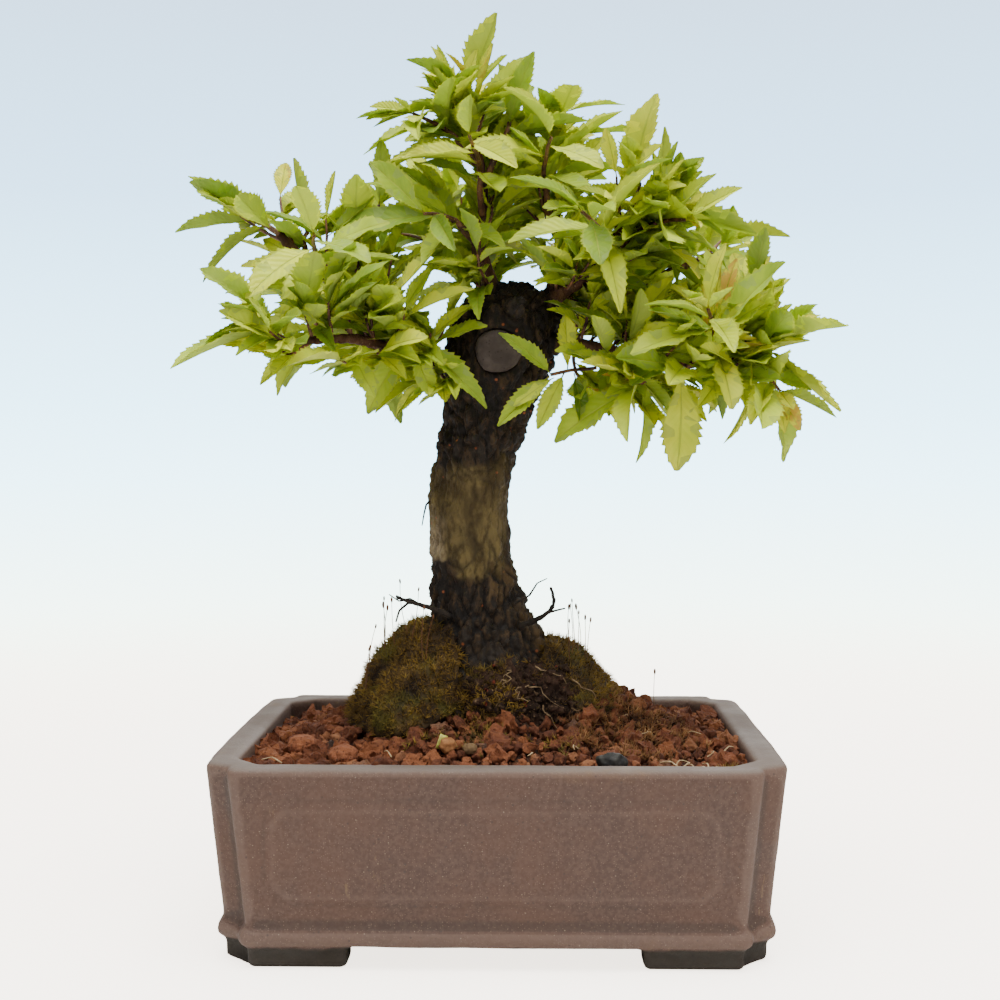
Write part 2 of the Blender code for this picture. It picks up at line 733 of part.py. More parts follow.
def make_trunk():
    trunk = trunk_solid("trunk", 0.0, "bark")
    inside = 3 * MM
    base = head_front(STUB_SHARE) + Vector((STUB_ASIDE, inside, 0.0))
    lean = Vector((0.10, -0.80, 0.42)).normalized()
    path = [base - lean * inside, base + lean * STUB_LENGTH * 0.8, base + lean * STUB_LENGTH]
    stub = tube(path, (STUB_RADIUS * 1.25, STUB_RADIUS * 1.05, STUB_RADIUS * 0.8), 10)
    combine(trunk, to_object("stub", stub), "UNION")
    combine(trunk, seal_solid("seal_seat", GAP), "DIFFERENCE")
    finish_mesh(trunk, 50)
    return trunk


def make_seal():
    seal = seal_solid("wound_seal", 0.0, "wound_putty")
    finish_mesh(seal, 40)
    return seal


def make_dead_twig(name):
    points = [TREE_AXIS + Vector(point) * MM for point in DEAD_TWIGS[name]]
    path = [catmull(points, k / 7) for k in range(8)]
    radii = [DEAD_TWIG_RADIUS * (1 - 0.6 * k / 7) for k in range(8)]
    twig = to_object(name, tube(path, radii, 6), "dead_wood")
    combine(twig, trunk_solid("room", GAP), "DIFFERENCE")
    finish_mesh(twig, 60)
    return twig


# ---- Moss and stones on the soil

def cushion_solid(name, grow=0.0, surface=None):
    (x, y), (half_x, half_y), height = MOSS_CUSHIONS[name]
    sides = 18
    middle = Vector((x, y)) * MM
    floor = soil_level(POT_WIDTH, POT_DEPTH) - 2 * MM
    rings = []
    for s in (1.0, 0.97, 0.86, 0.70, 0.50, 0.28):
        ring = []
        for k in range(sides):
            angle = math.tau * k / sides
            edge = 1 + 0.07 * math.sin(3 * angle + x) + 0.05 * math.sin(5 * angle + y)
            px = middle.x + (half_x * MM * s * edge + grow) * math.cos(angle)
            py = middle.y + (half_y * MM * s * edge + grow) * math.sin(angle)
            lumps = 1 + 0.06 * math.sin(px / (3.1 * MM)) * math.sin(py / (3.7 * MM))
            pz = soil_level(px, py) + height * MM * (1 - s ** 2.2) ** 0.75 * lumps + grow
            if s == 1.0:
                pz -= CUSHION_ROOT
            ring.append(Vector((px, py, pz)))
        if not rings:
            rings.append([Vector((point.x, point.y, floor)) for point in ring])
        rings.append(ring)
    peak = Vector((middle.x, middle.y, soil_level(*middle) + height * MM + grow))
    return to_object(name, dome(rings, peak), surface)


def make_cushion(name, neighbours):
    surface = "moss_dry" if name == "moss_dry_patch" else "moss"
    cushion = cushion_solid(name, 0.0, surface)
    combine(cushion, soil_solid("soil_room", SOIL_CLEARANCE), "DIFFERENCE")
    combine(cushion, trunk_solid("trunk_room", GAP), "DIFFERENCE")
    for other in neighbours:
        combine(cushion, cushion_solid(other, GAP), "DIFFERENCE")
    keep_largest(cushion)
    finish_mesh(cushion, 60)
    return cushion


def keep_largest(item):
    # Drops crumbs that a cut leaves beside the main body
    shape = bmesh.new()
    shape.from_mesh(item.data)
    left = set(shape.verts)
    bodies = []
    while left:
        stack = [left.pop()]
        body = set(stack)
        while stack:
            for edge in stack.pop().link_edges:
                for vert in edge.verts:
                    if vert in left:
                        left.discard(vert)
                        body.add(vert)
                        stack.append(vert)
        bodies.append(body)
    bodies.sort(key=len)
    crumbs = [vert for body in bodies[:-1] for vert in body]
    bmesh.ops.delete(shape, geom=crumbs, context="VERTS")
    shape.to_mesh(item.data)
    shape.free()


def make_stone(name, surface, seed):
    (x, y), half = STONES[name]
    chance = random.Random(seed)
    shape = bmesh.new()
    bmesh.ops.create_icosphere(shape, subdivisions=2, radius=1.0)
    for vert in shape.verts:
        vert.co *= 1 + chance.uniform(-0.09, 0.09)
    centre = Vector((x, y, 0.0)) * MM
    centre.z = soil_level(centre.x, centre.y) + half[2] * MM * 0.55
    place = Matrix.Translation(centre) @ Matrix.Rotation(seed, 4, "Z")
    place = place @ Matrix.Diagonal((half[0] * MM, half[1] * MM, half[2] * MM, 1.0))
    bmesh.ops.transform(shape, matrix=place, verts=shape.verts)
    stone = to_object(name, shape, surface)
    combine(stone, soil_solid("soil_room", SOIL_CLEARANCE), "DIFFERENCE")
    finish_mesh(stone, 40)
    return stone


# ---- Branches and leafy shoots

def crown_point(shares):
    across, deep, high = shares
    return HEAD + Vector((across * CROWN_WIDTH / 2, deep * CROWN_DEPTH / 2, high * CROWN_HEIGHT))


def branch_path(name, rows=11):
    points = [crown_point(point) for point in BRANCHES[name][2]]
    return [catmull(points, k / (rows - 1)) for k in range(rows)]


def branch_solid(name, object_name, grow=0.0, surface=None):
    thick, thin, _ = BRANCHES[name]
    path = branch_path(name)
    radii = []
    for k in range(len(path)):
        s = k / (len(path) - 1)
        knot = 1 + 0.06 * math.sin(7 * k)
        radii.append(BRANCH_RADIUS * (thick + (thin - thick) * s) * knot)
    return to_object(object_name, tube(path, radii, 7, grow), surface)


def make_branch(name, made):
    branch = branch_solid(name, name, 0.0, "branch_bark")
    combine(branch, trunk_solid("room", GAP), "DIFFERENCE")
    keep_largest(branch)
    for other in made:
        combine(branch, branch_solid(other, "room", GAP), "DIFFERENCE")
        keep_largest(branch)
    finish_mesh(branch, 60)
    return branch


def leaf_points(base, along, up, length, grow=0.0):
    # A leaf folded along its midrib and bent back towards its tip: closed, thickest at the rib
    side = along.cross(up).normalized()
    up = side.cross(along).normalized()
    half = length * LEAF_RATIO / 2 + grow
    thick = LEAF_THICKNESS / 2 + grow

    def place(s, across, lift):
        drop = LEAF_BEND * length * s * s
        return base + along * (length * s) + side * across + up * (lift - drop)

    tip = place(1.0 + grow / length, 0.0, 0.0)
    points = [tip]
    for s in (0.0, 0.34, 0.70):
        points.append(place(s, 0.0, thick))
        points.append(place(s, 0.0, -thick))
    for sign in (1, -1):
        for s, share in ((0.32, 0.92), (0.68, 0.88)):
            points.append(place(s, sign * half * share, LEAF_FOLD * half * share))
    return points


LEAF_FACES = (
    (1, 7, 3), (3, 7, 8), (3, 8, 5), (5, 8, 0),
    (1, 3, 9), (3, 10, 9), (3, 5, 10), (5, 0, 10),
    (2, 4, 7), (4, 8, 7), (4, 6, 8), (6, 0, 8),
    (2, 9, 4), (4, 9, 10), (4, 10, 6), (6, 10, 0),
    (1, 2, 7), (1, 9, 2),
)


def twig_route(start, end, heading, chance, wander):
    span = end - start
    middle = start + span * 0.45 + heading * span.length * 0.16
    middle += Vector([chance.uniform(-1, 1) * wander for _ in range(3)])
    points = [start, start.lerp(middle, 0.55), middle, end]
    return [catmull(points, k / (TWIG_ROWS - 1)) for k in range(TWIG_ROWS)]


def twig_clear(path, taken):
    # True if the twig's free part misses every piece made so far
    shape = tube(path[1:], [TWIG_RADIUS + GAP] * (len(path) - 1), 5)
    tree = BVHTree.FromBMesh(shape)
    shape.free()
    return not any(tree.overlap(other) for other in taken)


def leaf_tree(points):
    return BVHTree.FromPolygons(points, LEAF_FACES)


def try_leaf(path, share, turn, spread, length, chance, taken, own):
    # A leaf that misses other pieces all over, and its own shoot's leaves beyond its stalk
    place = catmull(path, share)
    ahead = (catmull(path, min(share + 0.04, 1.0)) - catmull(path, share - 0.04)).normalized()
    flat = Vector((0.0, 0.0, 1.0)).cross(ahead)
    flat = flat.normalized() if flat.length > 0.1 else ahead.orthogonal().normalized()
    for attempt in range(LEAF_TRIES):
        angle = turn + attempt * 0.55
        outward = Matrix.Rotation(angle, 3, ahead) @ flat
        along = (ahead * math.cos(spread) + outward * math.sin(spread)).normalized()
        up = ahead * 0.7 + Vector((0.0, 0.0, 0.8)) - outward * 0.2
        up += Vector([chance.uniform(-0.3, 0.3) for _ in range(3)])
        size = length * (1 - 0.05 * attempt)
        base = place - along * TWIG_RADIUS * 0.3
        whole = leaf_tree(leaf_points(base, along, up, size, GAP))
        blade = leaf_tree(leaf_points(base + along * TWIG_RADIUS * 2, along, up, size, GAP))
        if any(whole.overlap(other) for other in taken):
            continue
        if any(blade.overlap(other) for other in own):
            continue
        return leaf_points(base, along, up, size)
    return None


def make_shoot(name, branch, share, end, taken, seed):
    chance = random.Random(seed)
    route = branch_path(branch)
    start = catmull(route, share)
    heading = (catmull(route, min(share + 0.05, 1.0)) - catmull(route, share - 0.05)).normalized()
    end = crown_point(end)
    for attempt in range(TWIG_TRIES):
        path = twig_route(start, end, heading, chance, attempt * 1.2 * MM)
        if twig_clear(path, taken):
            break
    radii = [TWIG_RADIUS * (1.25 - 0.7 * k / (TWIG_ROWS - 1)) for k in range(TWIG_ROWS)]
    twig = to_object(name, tube(path, radii, 5), "leaf")
    length = sum((b - a).length for a, b in zip(path, path[1:]))
    count = min(LEAVES_MOST, max(LEAVES_LEAST, round(length / LEAF_SPACING) + 2))
    leaves = []
    own = []
    for k in range(count):
        s = k / (count - 1)
        size = LEAF_LENGTH * (0.86 + 0.30 * math.sin(math.pi * s)) * chance.uniform(0.82, 1.12)
        spread = math.radians(68 - 34 * s + chance.uniform(-8, 8))
        turn = k * 2.4 + chance.uniform(-0.4, 0.4)
        points = try_leaf(path, 0.34 + 0.64 * s, turn, spread, size, chance, taken, own)
        if points:
            leaves.append(points)
            own.append(leaf_tree(points))
    blades = bmesh.new()
    for points in leaves:
        verts = [blades.verts.new(point) for point in points]
        for face in LEAF_FACES:
            blades.faces.new([verts[k] for k in face])
    combine(twig, to_object("blades", blades), "UNION", overlapping=True)
    combine(twig, branch_solid(branch, "room", GAP), "DIFFERENCE")
    keep_largest(twig)
    finish_mesh(twig, 40)
    return twig


# ---- Assembly

def centre_assembly(pieces):
    # Parents every piece to one empty and moves it so that the whole box is centred in plan
    root = bpy.data.objects.new("bonsai_root", None)
    bpy.context.collection.objects.link(root)
    corners = []
    for piece in pieces:
        piece.parent = root
        corners += [vert.co for vert in piece.data.vertices]
    for axis in (0, 1):
        low = min(corner[axis] for corner in corners)
        high = max(corner[axis] for corner in corners)
        root.location[axis] = -(low + high) / 2


def main():
    clear_scene()
    pieces = [make_pot()]
    for side, label in ((-1, "left"), (1, "right")):
        pieces.append(make_screen("drain_screen_" + label, side))
        pieces.append(make_clip("screen_clip_" + label, side))
    pieces.append(make_soil())
    pieces.append(make_trunk())
    pieces.append(make_seal())
    made = []
    for name in MOSS_CUSHIONS:
        pieces.append(make_cushion(name, made))
        made.append(name)
    stone_surfaces = ("pale_stone", "pale_stone", "charcoal", "lava_stone", "lava_stone")
    for seed, (name, surface) in enumerate(zip(STONES, stone_surfaces)):
        pieces.append(make_stone(name, surface, seed + 1))
    for name in DEAD_TWIGS:
        pieces.append(make_dead_twig(name))
    made = []
    for name in BRANCHES:
        pieces.append(make_branch(name, made))
        made.append(name)
    taken = [bvh_of(piece) for piece in pieces]
    counts = {}
    for seed, (branch, share, end) in enumerate(SHOOTS):
        counts[branch] = counts.get(branch, 0) + 1
        name = "shoot_" + branch.replace("_branch", "") + "_" + str(counts[branch])
        shoot = make_shoot(name, branch, share, end, taken, seed + 10)
        taken.append(bvh_of(shoot))
        pieces.append(shoot)
    centre_assembly(pieces)


main()
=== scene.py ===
import math
import random

import bmesh
import bpy
import numpy as np
from mathutils import Matrix, Vector, noise
from mathutils.bvhtree import BVHTree
from mathutils.kdtree import KDTree


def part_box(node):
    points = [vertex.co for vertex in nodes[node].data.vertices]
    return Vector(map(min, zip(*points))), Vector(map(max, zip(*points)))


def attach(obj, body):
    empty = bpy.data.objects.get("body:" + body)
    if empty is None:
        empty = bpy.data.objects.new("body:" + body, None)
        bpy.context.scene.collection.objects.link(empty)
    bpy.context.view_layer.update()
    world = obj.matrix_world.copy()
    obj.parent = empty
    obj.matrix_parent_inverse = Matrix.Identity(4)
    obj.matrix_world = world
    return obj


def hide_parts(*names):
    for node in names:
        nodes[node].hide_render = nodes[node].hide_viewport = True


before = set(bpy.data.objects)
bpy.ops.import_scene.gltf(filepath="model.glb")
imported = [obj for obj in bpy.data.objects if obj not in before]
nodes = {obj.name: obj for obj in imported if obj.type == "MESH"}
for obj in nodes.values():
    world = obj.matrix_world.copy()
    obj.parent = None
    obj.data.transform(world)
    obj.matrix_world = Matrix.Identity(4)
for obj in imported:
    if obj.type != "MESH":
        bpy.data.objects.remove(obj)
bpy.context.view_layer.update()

mm = 0.001
potLow, potHigh = [Vector(corner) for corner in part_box("pot")]
potMiddle = (potLow + potHigh) / 2
rimZ = potHigh.z
potFoot = Vector((potMiddle.x, potMiddle.y, 0.0))  # the point on the ground under the pot
branchNames = sorted(name for name in nodes if name.endswith("_branch") or name == "leader")
shootNames = sorted(name for name in nodes if name.startswith("shoot_"))
print("frame loaded:", len(nodes), "nodes")


# camera, light and floor

view = {
    "place": (9.5 * mm, -463 * mm, 146.6 * mm),  # from the ground under the pot
    "turn": 0.020,
    "tilt": -0.036,
    "lens": 52.7,
    "sensor": 36.0,
}


def makeCamera():
    data = bpy.data.cameras.new("camera")
    data.lens = view["lens"]
    data.sensor_width = view["sensor"]
    data.clip_start = 0.01
    camera = bpy.data.objects.new("camera", data)
    camera.location = potFoot + Vector(view["place"])
    camera.rotation_euler = (math.pi / 2 + view["tilt"], 0.0, view["turn"])
    bpy.context.scene.collection.objects.link(camera)
    bpy.context.scene.camera = camera


lamps = {
    # name: place and target round the pot in metres, size, power in watts, colour
    "overhead": ((0.05, -0.20, 1.5), (0, 0, 0.12), 1.4, 56.0, (1.0, 0.99, 0.96)),
    "leftFront": ((-1.1, -1.1, 0.8), (0, 0, 0.12), 1.0, 3.0, (1.0, 0.97, 0.93)),
    "rightFront": ((1.2, -0.9, 0.8), (0, 0, 0.12), 1.0, 5.0, (1.0, 0.97, 0.93)),
    "behind": ((0.2, 1.3, 1.0), (0, 0, 0.2), 1.2, 14.0, (1.0, 0.99, 0.96)),
}
room = {
    "light": 0.48,
    "bright": 8.0,  # strength of the backdrop where it is looked at
    # height of the direction, colour of the backdrop there
    "backdrop": (
        (-0.30, (1.0, 0.93, 0.77)), (-0.17, (0.93, 0.92, 0.76)), (-0.117, (0.74, 0.89, 0.79)),
        (-0.022, (0.45, 0.75, 0.89)), (0.032, (0.35, 0.63, 0.80)), (0.165, (0.22, 0.38, 0.53)),
        (0.286, (0.19, 0.28, 0.38))),
}


def makeLights():
    for name, (place, target, size, power, colour) in lamps.items():
        data = bpy.data.lights.new(name, "AREA")
        data.shape = "DISK"
        data.size = size
        data.energy = power
        data.color = colour
        lamp = bpy.data.objects.new(name, data)
        lamp.location = potFoot + Vector(place)
        aim = potFoot + Vector(target) - lamp.location
        lamp.rotation_euler = aim.to_track_quat("-Z", "Y").to_euler()
        lamp.visible_camera = False
        bpy.context.scene.collection.objects.link(lamp)
    world = bpy.data.worlds.new("softRoom")
    world.use_nodes = True
    tree = world.node_tree
    tree.nodes.remove(tree.nodes["Background"])
    direction = put(tree, "ShaderNodeTexCoord").outputs["Generated"]
    up = put(tree, "ShaderNodeSeparateXYZ", {0: direction}).outputs["Z"]
    widest = 0.4
    share = reach(tree, up, -widest, widest, smooth=False)
    stops = [((height + widest) / (2 * widest), colour) for height, colour in room["backdrop"]]
    seen = put(tree, "ShaderNodeBackground", {
        "Color": ramp(tree, share, stops), "Strength": room["bright"]})
    glow = ramp(tree, share, ((0.0, (1.0, 0.93, 0.85)), (1.0, (1.0, 0.98, 0.96))))
    light = put(tree, "ShaderNodeBackground", {"Color": glow, "Strength": room["light"]})
    looked = put(tree, "ShaderNodeLightPath").outputs["Is Camera Ray"]
    both = put(tree, "ShaderNodeMixShader", {0: looked, 1: light.outputs[0], 2: seen.outputs[0]})
    tree.links.new(both.outputs[0], tree.nodes["World Output"].inputs["Surface"])
    bpy.context.scene.world = world


# small helpers for node trees and meshes

def feed(tree, socket, value):
    # a socket given as the value is linked, anything else is set
    if isinstance(value, bpy.types.NodeSocket):
        tree.links.new(value, socket)
    else:
        socket.default_value = value


def put(tree, kind, inputs=None, **settings):
    made = tree.nodes.new(kind)
    for name, value in settings.items():
        setattr(made, name, value)
    for name, value in (inputs or {}).items():
        feed(tree, made.inputs[name], value)
    return made


def blend(tree, mask, first, second, mode="MIX"):
    # colour mix: sockets or colours on both sides
    made = put(tree, "ShaderNodeMix", {0: mask}, data_type="RGBA", blend_type=mode)
    for slot, value in ((6, first), (7, second)):
        plain = not isinstance(value, bpy.types.NodeSocket)
        feed(tree, made.inputs[slot], (*value, 1.0) if plain else value)
    return made.outputs[2]


def reach(tree, value, low, high, toLow=0.0, toHigh=1.0, smooth=True):
    # a mask that rises from toLow to toHigh while value goes from low to high
    kind = "SMOOTHSTEP" if smooth else "LINEAR"
    ranges = {"Value": value, "From Min": low, "From Max": high, "To Min": toLow, "To Max": toHigh}
    return put(tree, "ShaderNodeMapRange", ranges, interpolation_type=kind).outputs[0]


def sums(tree, kind, *values):
    return put(tree, "ShaderNodeMath", dict(enumerate(values)), operation=kind).outputs[0]


def times(tree, first, second):
    return sums(tree, "MULTIPLY", first, second)


def plus(tree, first, second):
    return sums(tree, "ADD", first, second)


def minus(tree, first, second):
    return sums(tree, "SUBTRACT", first, second)


def layer(tree, body, mask, share, colour):
    # a colour over the body where the mask is, as strong as share says
    return blend(tree, times(tree, mask, share), body, colour)


def ramp(tree, value, stops):
    made = put(tree, "ShaderNodeValToRGB", {"Fac": value})
    elements = made.color_ramp.elements
    while len(elements) < len(stops):
        elements.new(0.5)
    for element, (place, colour) in zip(elements, stops):
        element.position = place
        element.color = (*colour, 1.0)
    return made.outputs["Color"]


def newMaterial(name):
    made = bpy.data.materials.new(name)
    made.use_nodes = True
    tree = made.node_tree
    shader = tree.nodes["Principled BSDF"]
    place = tree.nodes.new("ShaderNodeTexCoord").outputs["Object"]
    return made, tree, shader, place


def attribute(tree, name):
    return put(tree, "ShaderNodeAttribute", attribute_name=name).outputs["Fac"]


def mottled(tree, place, scale, low, high):
    inputs = {"Vector": place, "Scale": scale, "Low": low, "High": high}
    return put(tree, "ShaderNodeGroup", inputs, node_tree=mottle).outputs["Mask"]


def speckled(tree, place, scale, amount, size=0.4):
    inputs = {"Vector": place, "Scale": scale, "Amount": amount, "Size": size}
    return put(tree, "ShaderNodeGroup", inputs, node_tree=speckle).outputs


def dress(tree, shader, body, roughness, specular):
    # constants go on the shader's own sockets
    for name, value in (("Base Color", body), ("Roughness", roughness),
                        ("Specular IOR Level", specular)):
        feed(tree, shader.inputs[name], value)


def startTree(name, kind, inputs, outputs):
    # a node group with named inputs, each of a kind of socket and with its usual value
    tree = bpy.data.node_groups.new(name, kind)
    for label, socketKind, value in inputs:
        socket = tree.interface.new_socket(
            name=label, in_out="INPUT", socket_type="NodeSocket" + socketKind)
        if value is not None:
            socket.default_value = value
    for label, socketKind in outputs:
        tree.interface.new_socket(
            name=label, in_out="OUTPUT", socket_type="NodeSocket" + socketKind)
    enter = tree.nodes.new("NodeGroupInput")
    return tree, enter.outputs, tree.nodes.new("NodeGroupOutput").inputs


def makeMottle():
    # broad patches at two scales
    group, take, give = startTree("mottle", "ShaderNodeTree", (
        ("Vector", "Vector", None), ("Scale", "Float", 60.0), ("Low", "Float", 0.4),
        ("High", "Float", 0.6)), (("Mask", "Float"),))
    broad = put(group, "ShaderNodeTexNoise", {
        "Vector": take["Vector"], "Scale": take["Scale"], "Detail": 5.0, "Roughness": 0.62,
        "Distortion": 0.3})
    feed(group, give["Mask"], reach(group, broad.outputs["Fac"], take["Low"], take["High"]))
    return group


def makeSpeckle():
    # small round specks, more or fewer and larger or smaller
    group, take, give = startTree("speckle", "ShaderNodeTree", (
        ("Vector", "Vector", None), ("Scale", "Float", 900.0), ("Amount", "Float", 0.2),
        ("Size", "Float", 0.4)), (("Mask", "Float"), ("Height", "Float")))
    cells = put(group, "ShaderNodeTexVoronoi", {"Vector": take["Vector"], "Scale": take["Scale"]})
    split = put(group, "ShaderNodeSeparateColor", {0: cells.outputs["Color"]})
    chosen = sums(group, "LESS_THAN", split.outputs[0], take["Amount"])
    heart = times(group, take["Size"], 0.4)
    near = reach(group, cells.outputs["Distance"], take["Size"], heart)
    mask = times(group, chosen, near)
    fine = put(group, "ShaderNodeTexNoise", {
        "Vector": take["Vector"], "Scale": take["Scale"], "Detail": 3.0}).outputs["Fac"]
    feed(group, give["Mask"], mask)
    feed(group, give["Height"], plus(group, times(group, mask, 0.5), fine))
    return group


def bump(tree, shader, height, strength, distance):
    made = put(tree, "ShaderNodeBump", {
        "Height": height, "Strength": strength, "Distance": distance})
    tree.links.new(made.outputs[0], shader.inputs["Normal"])


def merged(node):
    # a welded copy of a CAD node's loose triangles
    shape = bmesh.new()
    shape.from_mesh(nodes[node].data)
    bmesh.ops.transform(shape, matrix=nodes[node].matrix_world, verts=shape.verts)
    bmesh.ops.remove_doubles(shape, verts=shape.verts, dist=0.002 * mm)
    return shape


def toPiece(name, shape, material=None, smooth=True):
    mesh = bpy.data.meshes.new(name)
    shape.to_mesh(mesh)
    shape.free()
    if smooth:
        mesh.shade_smooth()
    made = bpy.data.objects.new(name, mesh)
    bpy.context.scene.collection.objects.link(made)
    if material:
        mesh.materials.append(material)
    return made


def bake(item):
    # turns an object with live modifiers into a plain mesh
    graph = bpy.context.evaluated_depsgraph_get()
    result = bpy.data.meshes.new_from_object(item.evaluated_get(graph), depsgraph=graph)
    item.modifiers.clear()
    item.data = result
    return item


def settle(piece, slot, *stands):
    # its slot, which is not used, and the CAD nodes it stands for; it always rides on the root body
    if stands:
        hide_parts(*stands)
    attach(piece, "root")


def addTo(whole, shape):
    # moves a shape into a larger one; gives back its mesh
    spare = bpy.data.meshes.new("spare")
    shape.to_mesh(spare)
    shape.free()
    whole.from_mesh(spare)
    return spare


def clamp(value):
    return min(1.0, max(0.0, value))


def jitter(chance, most):
    return Vector([chance.uniform(-most, most) for _ in range(3)])


def coords(mesh):
    flat = np.empty(len(mesh.vertices) * 3)
    mesh.vertices.foreach_get("co", flat)
    return flat.reshape(-1, 3)


def vertNormals(mesh):
    flat = np.empty(len(mesh.vertices) * 3)
    mesh.vertex_normals.foreach_get("vector", flat)
    return flat.reshape(-1, 3)


def convexity(mesh, rounds=2):
    # how far each vertex stands proud of its neighbours: high on edges, low in hollows
    places = coords(mesh)
    pairs = np.empty(len(mesh.edges) * 2, dtype=np.int32)
    mesh.edges.foreach_get("vertices", pairs)
    first, second = pairs.reshape(-1, 2).T
    count = np.bincount(pairs, minlength=len(places))
    pull = np.zeros_like(places)
    np.add.at(pull, first, places[second] - places[first])
    np.add.at(pull, second, places[first] - places[second])
    proud = -(pull * vertNormals(mesh)).sum(axis=1) / count
    for _ in range(rounds):
        total = proud.copy()
        np.add.at(total, first, proud[second])
        np.add.at(total, second, proud[first])
        proud = total / (count + 1)
    return proud


def reskin(piece, voxel, rounds):
    # one even skin over everything in the piece, its edges eased
    material = piece.data.materials[0]
    remesh = piece.modifiers.new("skin", "REMESH")
    remesh.mode = "VOXEL"
    remesh.voxel_size = voxel
    ease = piece.modifiers.new("ease", "SMOOTH")
    ease.factor = 0.5
    ease.iterations = rounds
    bake(piece)
    piece.data.materials.clear()
    piece.data.materials.append(material)


def setAttribute(mesh, name, values, kind="FLOAT", domain="POINT"):
    made = mesh.attributes.new(name, kind, domain)
    key = "vector" if kind == "FLOAT_VECTOR" else "value"
    made.data.foreach_set(key, np.asarray(values, dtype=np.float32).ravel())


# geometry node trees

def startGeometry(name, inputs):
    inputs = (("Geometry", "Geometry", None), *inputs, ("Material", "Material", None))
    return startTree(name, "GeometryNodeTree", inputs, (("Geometry", "Geometry"),))


def endGeometry(tree, take, give, geometry):
    real = put(tree, "GeometryNodeRealizeInstances", {"Geometry": geometry})
    skin = put(tree, "GeometryNodeSetMaterial", {
        "Geometry": real.outputs[0], "Material": take["Material"]})
    feed(tree, give[0], skin.outputs[0])
    return tree


def named(tree, name, kind="FLOAT"):
    return put(tree, "GeometryNodeInputNamedAttribute", {"Name": name}, data_type=kind).outputs[0]


def randomly(tree, low, high, seed, kind="FLOAT_VECTOR"):
    first = 0 if kind == "FLOAT_VECTOR" else 2
    made = put(tree, "FunctionNodeRandomValue", {first: low, first + 1: high, "Seed": seed},
               data_type=kind)
    return made.outputs[first // 2]


def picked(tree, take, points, inputs):
    # shapes of the collection put on the points
    shapes = put(tree, "GeometryNodeCollectionInfo", {
        "Collection": take["Shapes"], "Separate Children": True, "Reset Children": True})
    inputs = {"Points": points, "Instance": shapes.outputs[0], "Pick Instance": True, **inputs}
    return put(tree, "GeometryNodeInstanceOnPoints", inputs).outputs[0]


def runTree(item, tree, values):
    # gives the tree's inputs by socket identifier, evaluates it and keeps the plain mesh
    modifier = item.modifiers.new(tree.name, "NODES")
    modifier.node_group = tree
    for socket in tree.interface.items_tree:
        if socket.in_out == "INPUT" and socket.name in values:
            modifier[socket.identifier] = values[socket.name]
    return bake(item)


def makeScatterTree():
    # strews the shapes of a collection over a surface, lying any way or standing on it
    tree, take, give = startGeometry("scatter", (
        ("Shapes", "Collection", None), ("Density", "Float", 1.0), ("Spacing", "Float", 0.0),
        ("Smallest", "Float", 1.0), ("Largest", "Float", 1.0), ("Upright", "Float", 0.0),
        ("Lean", "Float", 0.3), ("Sink", "Float", 0.0), ("Seed", "Int", 1)))
    points = put(tree, "GeometryNodeDistributePointsOnFaces", {
        "Mesh": take["Geometry"], "Distance Min": take["Spacing"], "Density Max": take["Density"],
        "Density Factor": named(tree, "cover"), "Seed": take["Seed"]}, distribute_method="POISSON")
    spot, normal = points.outputs["Points"], points.outputs["Normal"]
    spin = randomly(tree, [-math.pi] * 3, [math.pi] * 3, take["Seed"])
    loose = put(tree, "FunctionNodeEulerToRotation", {0: spin}).outputs[0]
    sway = put(tree, "ShaderNodeVectorMath", {
        0: randomly(tree, (-1, -1, -1), (1, 1, 1), 77), "Scale": take["Lean"]}, operation="SCALE")
    stand = put(tree, "ShaderNodeVectorMath", {0: normal, 1: sway.outputs[0]}, operation="ADD")
    turned = put(tree, "FunctionNodeAlignRotationToVector", {
        "Rotation": loose, "Factor": take["Upright"], "Vector": stand.outputs[0]}, axis="Z")
    drop = put(tree, "ShaderNodeVectorMath", {0: normal, "Scale": take["Sink"]}, operation="SCALE")
    moved = put(tree, "GeometryNodeSetPosition", {"Geometry": spot, "Offset": drop.outputs[0]})
    placed = picked(tree, take, moved.outputs[0], {
        "Rotation": turned.outputs[0],
        "Scale": randomly(tree, take["Smallest"], take["Largest"], 5, "FLOAT")})
    stored = put(tree, "GeometryNodeStoreNamedAttribute", {
        "Geometry": placed, "Name": "tone", "Value": randomly(tree, 0.0, 1.0, 9, "FLOAT")},
        data_type="FLOAT", domain="INSTANCE")
    return endGeometry(tree, take, give, stored.outputs[0])


def makeLeafTree():
    # a leaf of the picked kind on each point, aimed and turned by the point's own vectors
    tree, take, give = startGeometry("leaves", (("Shapes", "Collection", None),))
    aimed = put(tree, "FunctionNodeAlignRotationToVector", {
        "Vector": named(tree, "aim", "FLOAT_VECTOR")}, axis="Y")
    faced = put(tree, "FunctionNodeAlignRotationToVector", {
        "Rotation": aimed.outputs[0], "Vector": named(tree, "face", "FLOAT_VECTOR")},
        axis="Z", pivot_axis="Y")
    points = put(tree, "GeometryNodeMeshToPoints", {"Mesh": take["Geometry"]})
    placed = picked(tree, take, points.outputs[0], {
        "Instance Index": named(tree, "kind", "INT"), "Rotation": faced.outputs[0],
        "Scale": named(tree, "size", "FLOAT_VECTOR")})
    return endGeometry(tree, take, give, placed)


